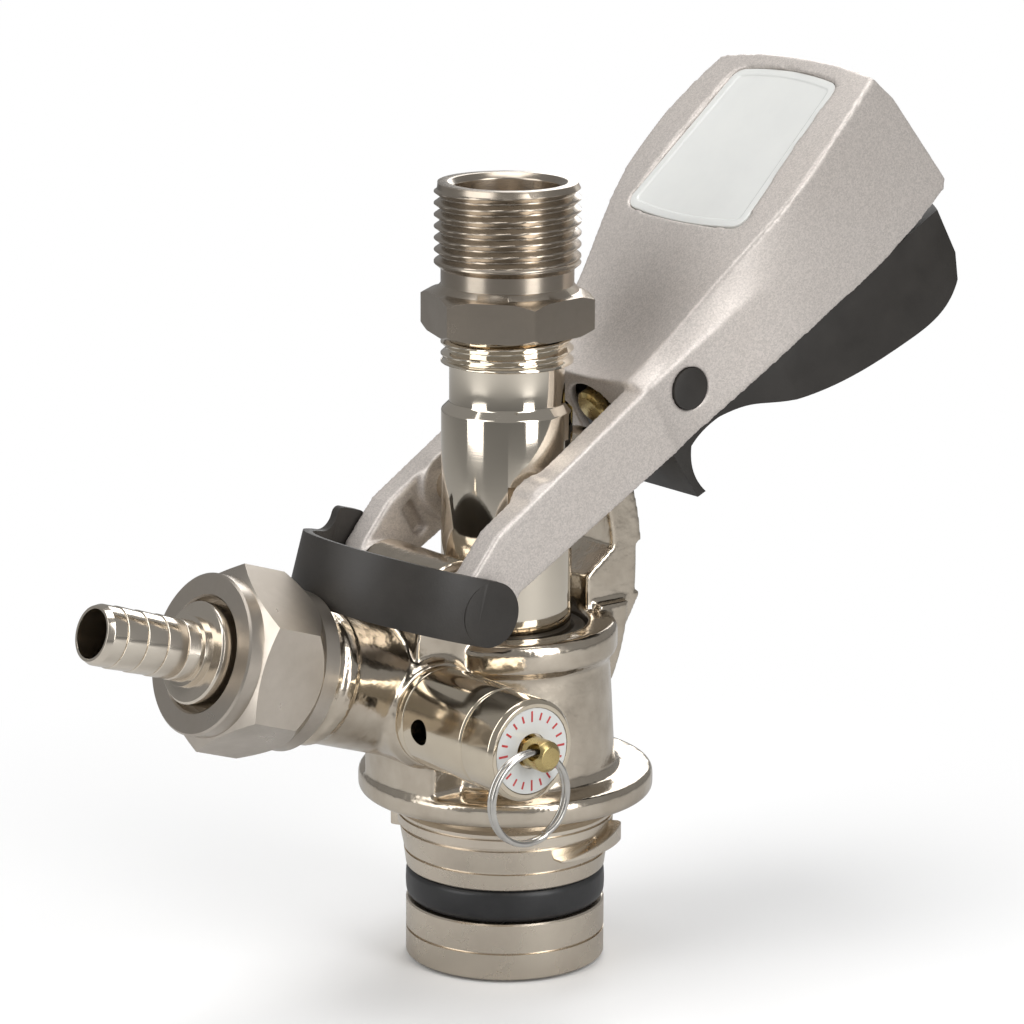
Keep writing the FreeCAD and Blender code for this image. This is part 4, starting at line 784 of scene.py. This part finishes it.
@dataclass(frozen=True)
class GasInlet:
    """Union nut and hose tail on the gas arm.

    Attributes:
        across: Distance across the nut's flats.
        start: Distance of the nut's rear end along the arm.
        end: Distance of its front end.
        face: Radius of its flat faces.
        skirt: Radius of the round skirts in front of and behind its flats.
        skirt_front: Length of the front skirt.
        skirt_rear: Length of the rear skirt.
        cone_front: Length of the cone from the front skirt up to the corners.
        cone_rear: Length of the cone from the rear skirt up to the corners.
        hole: Radius of its hole.
        thread: Radius of its thread.
        shoulder: Distance of the shoulder inside.
        collar: Radius of the hose tail's collar.
        bore: Radius of its bore.
        root: Radius of the notches between its barbs.
        crest: Radius of its barbs.
        barbs: Number of them.
        pitch: Distance between them.
    """

    across: float = 25.4
    start: float = 43.4
    end: float = 60.7
    face: float = 12.1
    skirt: float = 12.4
    skirt_front: float = 2.6
    skirt_rear: float = 2.9
    cone_front: float = 1.2
    cone_rear: float = 3.0
    hole: float = 8.8
    thread: float = 10.48
    shoulder: float = 57.4
    collar: float = 7.85
    bore: float = 3.75
    root: float = 4.42
    crest: float = 4.72
    barbs: int = 4
    pitch: float = 3.7

    def build(self) -> None:
        """Builds the pieces and rides them on the body."""
        place = Along.GAS.matrix()
        nut = Piece("union_nut", NUT_STEEL, self.nut()).placed(place)
        nut.on("body", "gas_union_nut", sharp=20)
        Piece("hose_tail", GAS_STEEL, self.tail()).placed(place).on("body", "gas_tailpiece")
        dress(BLACK_RUBBER, "gas_check_valve")
        dress(FIBRE, "gas_washer")

    def nut(self) -> Mesh:
        """The nut, whose cones meet each flat in a curve between two round skirts.

        Returns:
            The mesh, in millimetres.
        """
        corner = self.across / math.sqrt(3)
        edge = self.skirt - self.face
        front, rear = self.end - self.skirt_front, self.start + self.skirt_rear
        before = [(self.thread, self.start), (self.face, self.start),
                  (self.skirt, self.start + edge), (self.skirt, rear)]
        after = [(self.skirt, front), (self.skirt, self.end - edge), (self.face, self.end),
                 (self.hole + 0.3, self.end), (self.hole, self.end - 0.3),
                 (self.hole, self.shoulder), (self.thread, self.shoulder)]

        def outline_at(angle: float) -> Outline:
            """The nut's outline, between flat and corner.

            Args:
                angle: The angle, in radians.

            Returns:
                The outline.
            """
            reach = hexagon_reach(self.across, 0.0, angle)
            share = (reach - self.skirt) / (corner - self.skirt)
            low, high = rear + share * self.cone_rear, front - share * self.cone_front
            return before + [(reach, low), (reach, (low + high) / 2), (reach, high)] + after

        return spun(outline_at, 360)

    def tail(self) -> Mesh:
        """The hose tail with its low saw-tooth barbs.

        Returns:
            The mesh, in millimetres.
        """
        collar_end = self.end + 1.6
        first = collar_end + 1.4
        root, crest = self.root, self.crest
        outline = [
            (self.bore, 54.4), (9.9, 54.4), (9.9, self.shoulder), (self.collar, self.shoulder),
            (self.collar, collar_end - 0.3), (self.collar - 0.3, collar_end), (5.4, collar_end),
            (5.4, first), (crest, first)]
        for barb in range(1, self.barbs + 1):
            at = first + self.pitch * (barb - 0.35)
            outline += [(crest, at - 0.1), (root, at), (crest - 0.12, at + 0.1)]
        tip = first + self.pitch * (self.barbs + 0.55)
        outline += [(crest - 0.1, tip - 1.0), (4.2, tip), (self.bore, tip)]
        return turned(outline, 0.05)


@dataclass(frozen=True)
class ReliefValve:
    """Relief valve on the side of the gas arm, with its knob and split ring.

    Attributes:
        radius: Radius of the sleeve and the cap.
        start: Distance of the sleeve's root along the valve's line.
        joint: Distance of the joint between sleeve and cap.
        face: Distance of the cap's face.
        vent: Radius of the vent hole.
        vent_at: Distance of the vent hole.
        label: Radius of the disc in the cap's face.
        knob: Radius of the knob.
        knob_length: Its length.
        knob_gap: Distance from the cap's face to the knob's foot.
        knob_hole: Radius of its cross hole.
        hole_at: Distance of the cross hole from the knob's foot.
        ring: Mean radius of the split ring.
        wire: Radius of its wire.
        hang: Angle that the ring leans to the gas side, in degrees.
        ticks: Number of marks on the disc.
        tick_radius: Radius of the circle that they stand on.
    """

    radius: float = 7.9
    start: float = 10.7
    joint: float = 27.0
    face: float = 34.5
    vent: float = 2.0
    vent_at: float = 18.0
    label: float = 6.6
    knob: float = 2.4
    knob_length: float = 4.4
    knob_gap: float = 0.15
    knob_hole: float = 1.35
    hole_at: float = 2.7
    ring: float = 6.95
    wire: float = 0.42
    hang: float = 24.0
    ticks: int = 20
    tick_radius: float = 5.35

    def build(self) -> None:
        """Builds the pieces and rides them on their bodies."""
        place = Along.RELIEF.matrix()
        sleeve = Piece("relief_sleeve", SLEEVE_NICKEL, self.sleeve()).placed(place)
        hole = Piece("vent_cutter", SLEEVE_NICKEL, turned([
            (0, 0), (self.vent, 0), (self.vent, 9.0), (0, 9.0)], 0, 64))
        at = Matrix.Translation(Along.RELIEF.at(self.vent_at) * MM)
        hole.placed(at @ rotation(-90, "Y") @ rotation(-10, "X"))
        sleeve.cut(hole).on("body", "relief_body")
        Piece("relief_end", SLEEVE_NICKEL, self.cap()).placed(place).on("body", "relief_cap")
        self.disc(place)
        knob = Piece("pull_knob", BRASS, self.knob_form()).placed(place)
        knob.cut(self.cross_hole()).on("relief", "relief_knob")
        Piece("split_ring", SPRING_WIRE, self.split_ring()).on("ring", "pull_ring", sharp=80)
        dress(BLACK_RUBBER, "relief_seal")
        dress(TURNED_STEEL, "relief_stem")
        dress(SPRING_WIRE, "relief_spring")

    def sleeve(self) -> Mesh:
        """The sleeve, with its spigot, its bore and a fine line near the casting."""
        r, start = self.radius, self.start
        return turned([
            (2.6, start - 3.4), (5.6, start - 3.4), (5.6, start), (r - 0.25, start),
            (r, start + 0.3), (r, start + 1.5), (r - 0.18, start + 1.65), (r, start + 1.8),
            (r, self.joint - 0.35), (r - 0.3, self.joint), (6.2, self.joint), (6.2, 12.6),
            (4.0, 12.6), (3.5, 13.2), (2.6, 13.2)], 0.1, 256)

    def cap(self) -> Mesh:
        """The cap, with the recess for the disc."""
        r, face = self.radius, self.face
        return turned([
            (1.55, face - 2.6), (6.2, face - 2.6), (6.2, self.joint), (r - 0.3, self.joint),
            (r, self.joint + 0.35), (r, face - 0.7), (r - 0.55, face), (self.label + 0.06, face),
            (self.label + 0.06, face - 0.4), (1.55, face - 0.4)], 0.12, 256)

    def disc(self, place: Matrix) -> None:
        """The white disc in the cap's face, with red marks laid round its edge.

        Args:
            place: The placing on the valve's line.
        """
        low, high, hole = self.face - 0.4, self.face - 0.05, self.knob + 0.3
        disc = turned([(hole, low), (self.label, low), (self.label, high), (hole, high)], 0.08)
        Piece("face_disc", WHITE_PLATE, disc).placed(place).on("body", "relief_label")
        marks = Piece("face_marks", RED_PRINT)
        marks.grown(self.mark_tree(), Count=float(self.ticks), Radius=self.tick_radius * MM,
                    Height=high * MM)
        marks.placed(place).on("body")

    def mark_tree(self) -> Tree:
        """A ring of thin upright marks, every fifth one longer.

        Returns:
            The tree, with inputs for the marks' number, place and size.
        """
        tree = GeometryTree("ring_of_marks", RED_PRINT, Count=20.0, Radius=5.35 * MM, Height=0.0,
                            Length=1.15 * MM, Width=0.34 * MM, Thickness=0.03 * MM)
        nodes = tree.nodes
        circle = nodes.add("GeometryNodeMeshCircle", {
            "Vertices": tree.value("Count"), "Radius": tree.value("Radius")})
        size = nodes.add("ShaderNodeCombineXYZ", {
            0: tree.value("Length"), 1: tree.value("Width"), 2: tree.value("Thickness")})
        mark = nodes.add("GeometryNodeMeshCube", {"Size": size.outputs[0]})
        place = nodes.add("GeometryNodeInputPosition").outputs[0]
        x, y, _ = nodes.add("ShaderNodeSeparateXYZ", {0: place}).outputs
        turn = nodes.math("ARCTAN2", y, x)
        spin = nodes.add("ShaderNodeCombineXYZ", {2: turn})
        order = nodes.add("GeometryNodeInputIndex").outputs[0]
        every, extra = 5.0, 0.45
        chosen = nodes.math("LESS_THAN", nodes.math("MODULO", order, every), 0.5)
        longer = nodes.math("ADD", 1.0, nodes.math("MULTIPLY", chosen, extra))
        scale = nodes.add("ShaderNodeCombineXYZ", {0: longer, 1: 1.0, 2: 1.0})
        spread = nodes.add("GeometryNodeInstanceOnPoints", {
            "Points": circle.outputs[0], "Instance": mark.outputs[0],
            "Rotation": spin.outputs[0], "Scale": scale.outputs[0]})
        lift = nodes.add("ShaderNodeCombineXYZ", {2: tree.value("Height")})
        raised = nodes.add("GeometryNodeTransform", {
            "Geometry": spread.outputs[0], "Translation": lift.outputs[0]})
        return tree.ended(raised.outputs[0])

    def knob_form(self) -> Mesh:
        """The brass knob before its cross hole is drilled.

        Returns:
            The mesh, in millimetres.
        """
        low, r = self.face + self.knob_gap, self.knob
        top = low + self.knob_length
        return turned([
            (0, low + 0.6), (1.5, low + 0.6), (1.5, low), (r - 0.3, low), (r, low + 0.3),
            (r, top - 0.8), (r - 0.75, top), (0, top)], 0.15, 128)

    def pull(self) -> Vector:
        """The middle of the knob's cross hole, which the ring hangs from, in millimetres."""
        return Along.RELIEF.at(self.face + self.knob_gap + self.hole_at)

    def cross_hole(self) -> Piece:
        """The drill for the knob's cross hole.

        Returns:
            The drill, in its place.
        """
        drill = turned([(0, -6), (self.knob_hole, -6), (self.knob_hole, 6), (0, 6)], 0, 64)
        aim = rotation(self.hang, "Y") @ rotation(90, "Y")
        return Piece("hole_cutter", BRASS, drill).placed(Matrix.Translation(self.pull() * MM) @ aim)

    def split_ring(self) -> Mesh:
        """Two close turns of flattened wire, joined by a short step from one turn to the other.

        Returns:
            The mesh, in millimetres.
        """
        mesh = bmesh.new()
        steps, sides, turns = 300, 14, 2.0
        half_width, half_height, gap = self.wire * 1.1, self.wire * 0.92, self.wire * 1.86
        step_start, step_length = 0.46, 0.08
        rings = []
        for step in range(steps + 1):
            angle = 2 * math.pi * turns * step / steps
            share = min(1.0, max(0.0, (step / steps - step_start) / step_length))
            lift = gap * (share * share * (3 - 2 * share) - 0.5)
            ring = []
            for side in range(sides):
                around = 2 * math.pi * side / sides
                reach = self.ring + half_width * math.cos(around)
                ring.append(mesh.verts.new((
                    reach * math.cos(angle), reach * math.sin(angle),
                    lift + half_height * math.sin(around))))
            rings.append(ring)
        for before, after in zip(rings, rings[1:]):
            for side in range(sides):
                mesh.faces.new((before[side - 1], before[side], after[side], after[side - 1]))
        mesh.faces.new(rings[0])
        mesh.faces.new(reversed(rings[-1]))
        hang = rotation(self.hang, "Y") @ Matrix.Translation((0, 0, 0.25 - self.ring))
        stand = rotation(90, "X") @ rotation(-40, "Z")
        mesh.transform(Matrix.Translation(self.pull()) @ hang @ stand)
        return mesh


@dataclass(frozen=True)
class Probe:
    """The sliding probe with its threaded outlet.

    Attributes:
        radius: Radius of the probe.
        tip: Radius of its lower part.
        top: Height where the bright part ends.
        neck: Height where the thread starts.
        end: Height of the probe's end.
        screw: Radius of its thread.
        across: Distance across the outlet's flats.
        turn: Angle of one of its corners, in degrees.
        hexagon: Height of the hexagon's lower side.
        hexagon_top: Height of its upper side.
        collar: Height of the collar's lower end above the hexagon.
        outlet: Outer radius of the outlet's thread.
        outlet_start: Height where that thread starts.
        outlet_top: Height of the outlet's end.
        pitch: Pitch of both threads.
        depth: Depth of the outlet's thread.
        neck_depth: Depth of the thread under the hexagon.
        slot_low: Height of the drive slots' lower side.
        slot_high: Height of their upper side.
        slot_floor: Distance of their floor from the middle plane.
    """

    radius: float = 10.3
    tip: float = 8.0
    top: float = 88.9
    neck: float = 96.3
    end: float = 106.4
    screw: float = 10.4
    across: float = 24.0
    turn: float = 10.7
    hexagon: float = 101.3
    hexagon_top: float = 107.5
    collar: float = 108.8
    outlet: float = 11.45
    outlet_start: float = 112.1
    outlet_top: float = 124.7
    pitch: float = 1.814
    depth: float = 1.0
    neck_depth: float = 0.8
    slot_low: float = 71.88
    slot_high: float = 78.53
    slot_floor: float = 8.3

    def build(self) -> None:
        """Builds the pieces and rides them on the probe."""
        tube = Piece("probe_turned", PROBE_STEEL, self.tube())
        tube.cut(self.slot(-1), self.slot(1))
        tube.grown(thread_tree(PROBE_STEEL), Pitch=self.pitch * MM, Depth=self.neck_depth * MM,
                   Start=(self.neck + 0.3) * MM, End=(self.end + 0.4) * MM,
                   Least=9.3 * MM)
        tube.on("probe", "probe_tube")
        outlet = Piece("outlet_turned", OUTLET_STEEL, self.adapter())
        outlet.grown(thread_tree(OUTLET_STEEL), Pitch=self.pitch * MM, Depth=self.depth * MM,
                     Start=(self.outlet_start + 0.1) * MM, End=(self.outlet_top - 0.5) * MM,
                     Least=10.6 * MM)
        outlet.on("probe", "outlet_adapter")
        dress(BLACK_RUBBER, "probe_tip_seal")
        dress(TURNED_STEEL, "check_ball")
        dress(GREY_PLASTIC, "ball_retainer")
        dress(FIBRE, "outlet_washer")

    def slot(self, side: int) -> Piece:
        """Cutter for the slot that a drive pin's head rides in.

        Args:
            side: -1 or 1, the side of the probe along Y.

        Returns:
            The cutter, in its place.
        """
        low, high = self.slot_low, self.slot_high
        length, depth = 24.0, 6.0
        middle = (0, side * (self.slot_floor + depth / 2), (low + high) / 2)
        mesh = bmesh.new()
        bmesh.ops.create_cube(mesh, size=1.0)
        bmesh.ops.scale(mesh, verts=mesh.verts, vec=(length, depth, high - low))
        bmesh.ops.translate(mesh, verts=mesh.verts, vec=middle)
        return Piece("slot_cutter", PROBE_STEEL, mesh)

    def rings(self, radius: float, low: float, count: int) -> Outline:
        """Close points up a cylinder, for a thread to be cut into."""
        return [(radius, low + 0.1 * step) for step in range(count)]

    def tube(self) -> Mesh:
        """The probe, with close rings of points where the thread is to be cut.

        Returns:
            The mesh, in millimetres.
        """
        r, low = self.radius, self.tip
        outline = softened([
            (5.2, 1.2), (low - 1.2, 1.2), (low, 2.4), (low, 4.4), (low - 1.2, 4.4),
            (low - 1.2, 6.8), (low, 6.8), (low, 35.0), (r, 35.0 + r - low), (r, self.top),
            (r - 1.25, self.top + 1.25), (r - 1.25, self.neck), (self.screw - 0.4, self.neck),
            (self.screw, self.neck + 0.4)], 0.18)
        inside = [(self.screw, self.end), (8.1, self.end), (8.1, 104.8), (6.9, 104.8),
                  (6.9, 94.3), (5.2, 92.6)]
        whole = outline + self.rings(self.screw, self.neck + 0.55, 94) + inside
        return spun(lambda angle: whole, 200)

    def adapter(self) -> Mesh:
        """The outlet adapter: hexagon, collar, and close rings of points for its thread.

        Returns:
            The mesh, in millimetres.
        """
        slope = math.tan(math.radians(30))
        turn = math.radians(self.turn)
        corner = self.across / math.sqrt(3)
        round_r = corner - 1.35
        thread = self.rings(self.outlet, self.outlet_start, 118)
        stem = [(10.4, self.collar), (10.4, self.outlet_start - 0.9),
                (self.outlet - 0.1, self.outlet_start - 0.1)]
        mouth = softened([
            (self.outlet - 0.5, self.outlet_top), (9.2, self.outlet_top),
            (8.35, self.outlet_top - 0.85), (8.35, 118.7), (6.2, 117.5)], 0.15)
        inside = [(6.2, 107.4), (10.4, 107.4), (10.4, self.hexagon)]

        def outline_at(angle: float) -> Outline:
            """The adapter's outline, between flat and corner.

            Args:
                angle: The angle, in radians.

            Returns:
                The outline.
            """
            reach = hexagon_reach(self.across, turn, angle)
            drop = max(0.0, reach - round_r) * slope
            low, high = self.hexagon, self.hexagon_top
            return [(min(reach, round_r), low), (reach, low + drop), (reach, high - drop),
                    (min(reach, round_r), high), (11.2, high + 0.35), (10.5, self.collar - 0.1),
                    *stem, *thread, *mouth, *inside]

        return spun(outline_at, 240, turn)


@dataclass(frozen=True)
class Lever:
    """The cast lever with its plate, its trigger and its latch.

    Attributes:
        voxel: Grid size that the casting is remade with, in millimetres.
        passes: How often the grid is smoothed.
        plate_inset: Width of the plate's flat rim, in millimetres.
        plate_sink: Depth of the field inside the rim.
        plate_up: Direction that the plate faces on a level lever.
    """

    voxel: float = 0.42
    passes: int = 4
    plate_inset: float = 1.3
    plate_sink: float = 0.18
    plate_up: tuple[float, float, float] = (-0.22, 0.0, 0.97)

    def build(self) -> None:
        """Builds the pieces and rides them on their bodies."""
        casting = Piece.copied("lever_casting", SILVER_PAINT, "lever")
        casting.cast(self.voxel, self.passes).on("lever", "lever", sharp=60)
        self.plate()
        trigger = Piece.copied("grip_trigger", BLACK_PLASTIC, "trigger")
        trigger.bevelled(0.45).on("trigger", "trigger", sharp=50)
        bolt = Piece.copied("latch_bolt", BRASS, "latch_plunger")
        bolt.bevelled(0.12, 2).on("latch", "latch_plunger", sharp=50)
        dress(TURNED_STEEL, "drive_pins", "latch_dowel")
        dress(SPRING_WIRE, "latch_spring")

    def plate(self) -> None:
        """The white plate, with a raised rim round a slightly lower plain field."""
        plate = Piece.copied("handle_plate", WHITE_PLATE, "handle_badge")
        mesh = bmesh.new()
        mesh.from_mesh(plate.object.data)
        bmesh.ops.dissolve_limit(mesh, angle_limit=math.radians(1), verts=mesh.verts,
                                 edges=mesh.edges)
        up = rotation(-LEVER_REST, "Y").to_3x3() @ Vector(self.plate_up)
        top = max(mesh.faces, key=lambda face: face.normal.dot(up) * face.calc_area())
        normal = top.normal.copy()
        bmesh.ops.inset_region(mesh, faces=[top], thickness=self.plate_inset * MM)
        bmesh.ops.inset_region(mesh, faces=[top], thickness=0.25 * MM)
        bmesh.ops.translate(mesh, verts=top.verts, vec=normal * -self.plate_sink * MM)
        mesh.to_mesh(plate.object.data)
        mesh.free()
        plate.bevelled(0.22, angle=25).on("lever", "handle_badge", sharp=50)


@dataclass(frozen=True)
class Strap:
    """The plastic strap round the hinge end.

    Attributes:
        soft: Size of the rounding of its edges, in millimetres.
    """

    soft: float = 0.35

    def build(self) -> None:
        """Builds the strap and rides it on the body."""
        strap = Piece.copied("hinge_strap", BLACK_PLASTIC, "pin_strap")
        strap.bevelled(self.soft).on("body", "pin_strap", sharp=50)


# Studio


@dataclass(frozen=True)
class Lamp:
    """One soft lamp.

    Attributes:
        name: Its name.
        at: Where it stands, in metres.
        size: Width and height of its face, in metres.
        power: Its power, in watts.
    """

    name: str
    at: tuple[float, float, float]
    size: tuple[float, float]
    power: float


@dataclass(frozen=True)
class Studio:
    """Pale room with soft lamps, and the camera.

    Attributes:
        lens: Focal length, in millimetres on a sensor 36 mm wide.
        distance: Distance of the camera from its target.
        azimuth: Its direction round Z, in degrees from -Y.
        elevation: Its height above the horizon, in degrees.
        tilt: Its turn about its own line of sight, in degrees.
        target: The point looked at, in metres.
        lamps: The lamps.
    """

    lens: float = 144.14
    distance: float = 0.6449
    azimuth: float = -37.5
    elevation: float = 13.5
    tilt: float = 0.26
    target: tuple[float, float, float] = (0.00069, -0.00053, 0.0722)
    lamps: tuple[Lamp, ...] = (
        Lamp("key", (-0.33, 0.02, 0.24), (0.24, 0.48), 0.85),
        Lamp("front", (0.04, -0.35, 0.24), (0.17, 0.48), 1.05),
        Lamp("top", (0.02, 0.06, 0.62), (0.34, 0.34), 1.20),
        Lamp("rear", (0.34, 0.30, 0.34), (0.20, 0.46), 0.80),
    )

    def build(self) -> None:
        """Builds the floor, the world, the lamps and the camera."""
        scene = bpy.context.scene
        scene.view_settings.view_transform = "Standard"
        self.floor()
        self.world()
        for lamp in self.lamps:
            data = bpy.data.lights.new(lamp.name, "AREA")
            data.shape = "RECTANGLE"
            data.size, data.size_y = lamp.size
            data.energy = lamp.power
            holder = bpy.data.objects.new(lamp.name, data)
            holder.location = lamp.at
            aim = Vector(self.target) - Vector(lamp.at)
            holder.rotation_euler = aim.to_track_quat("-Z", "Y").to_euler()
            scene.collection.objects.link(holder)
        self.camera()

    def camera(self) -> None:
        """Builds the camera at the product view's angle."""
        data = bpy.data.cameras.new("camera")
        data.lens = self.lens
        data.sensor_width = 36.0
        data.clip_start = 0.05
        data.clip_end = 20.0
        azimuth, rise = math.radians(self.azimuth), math.radians(self.elevation)
        back = Vector((math.sin(azimuth) * math.cos(rise), -math.cos(azimuth) * math.cos(rise),
                       math.sin(rise)))
        camera = bpy.data.objects.new("camera", data)
        camera.location = Vector(self.target) + back * self.distance
        turn = (-back).to_track_quat("-Z", "Y").to_matrix() @ rotation(self.tilt, "Z").to_3x3()
        camera.rotation_euler = turn.to_euler()
        bpy.context.scene.collection.objects.link(camera)
        bpy.context.scene.camera = camera

    def floor(self) -> None:
        """Builds the pale floor, which runs far enough to fill the view."""
        half = 6.0
        data = bpy.data.meshes.new("floor")
        data.from_pydata([(-half, -half, 0), (half, -half, 0), (half, half, 0), (-half, half, 0)],
                         [], [(0, 1, 2, 3)])
        floor = bpy.data.objects.new("floor", data)
        floor.location.z = -0.0005
        material = bpy.data.materials.new("pale_floor")
        material.use_nodes = True
        nodes = Nodes(material.node_tree)
        place = nodes.add("ShaderNodeTexCoord").outputs["Object"]
        grain = nodes.add("ShaderNodeTexNoise", {"Vector": place, "Scale": 300.0, "Detail": 2.0})
        rough = nodes.add("ShaderNodeMapRange", {
            "Value": grain.outputs["Fac"], "To Min": 0.75, "To Max": 0.9})
        seen = nodes.add("ShaderNodeLightPath").outputs["Is Camera Ray"]
        near = nodes.add("ShaderNodeMapRange", {
            "Value": nodes.vector("LENGTH", place).outputs["Value"],
            "From Min": 0.06, "From Max": 0.16, "To Min": 1.0, "To Max": 0.0})
        pale = nodes.add("ShaderNodeMix", {0: seen, 2: 0.55, 3: 0.97}, data_type="FLOAT").outputs[0]
        tone = nodes.add("ShaderNodeCombineColor", {0: pale, 1: pale, 2: pale})
        lit = nodes.add("ShaderNodeBsdfPrincipled", {
            "Base Color": tone.outputs[0], "Roughness": rough.outputs[0],
            "Specular IOR Level": 0.1})
        white = nodes.add("ShaderNodeEmission", {"Color": (1, 1, 1, 1), "Strength": 1.0})
        far = nodes.math("MULTIPLY", seen, nodes.math("SUBTRACT", 1.0, near.outputs[0]))
        shader = nodes.add("ShaderNodeMixShader", {0: far, 1: lit.outputs[0], 2: white.outputs[0]})
        nodes.add("ShaderNodeOutputMaterial", {"Surface": shader.outputs[0]})
        data.materials.append(material)
        bpy.context.scene.collection.objects.link(floor)

    def world(self) -> None:
        """Gives the room its even light and the white that the camera sees behind the object."""
        world = bpy.data.worlds.new("room")
        bpy.context.scene.world = world
        world.use_nodes = True
        nodes = Nodes(world.node_tree)
        path = nodes.add("ShaderNodeLightPath")
        seen = path.outputs["Is Camera Ray"]
        room = nodes.add("ShaderNodeBackground", {"Color": (0.80, 0.80, 0.80, 1), "Strength": 0.36})
        white = nodes.add("ShaderNodeBackground", {"Color": (1, 1, 1, 1), "Strength": 1.0})
        mix = nodes.add("ShaderNodeMixShader", {0: seen, 1: room.outputs[0], 2: white.outputs[0]})
        nodes.add("ShaderNodeOutputWorld", {"Surface": mix.outputs[0]})


def main() -> None:
    """Builds the sub-assemblies in order, then the studio."""
    logging.basicConfig(level=logging.INFO, format="%(name)s: %(message)s")
    Neck().build()
    Body().build()
    GasInlet().build()
    ReliefValve().build()
    Probe().build()
    Lever().build()
    Strap().build()
    Studio().build()


if __name__ == "__main__":
    main()
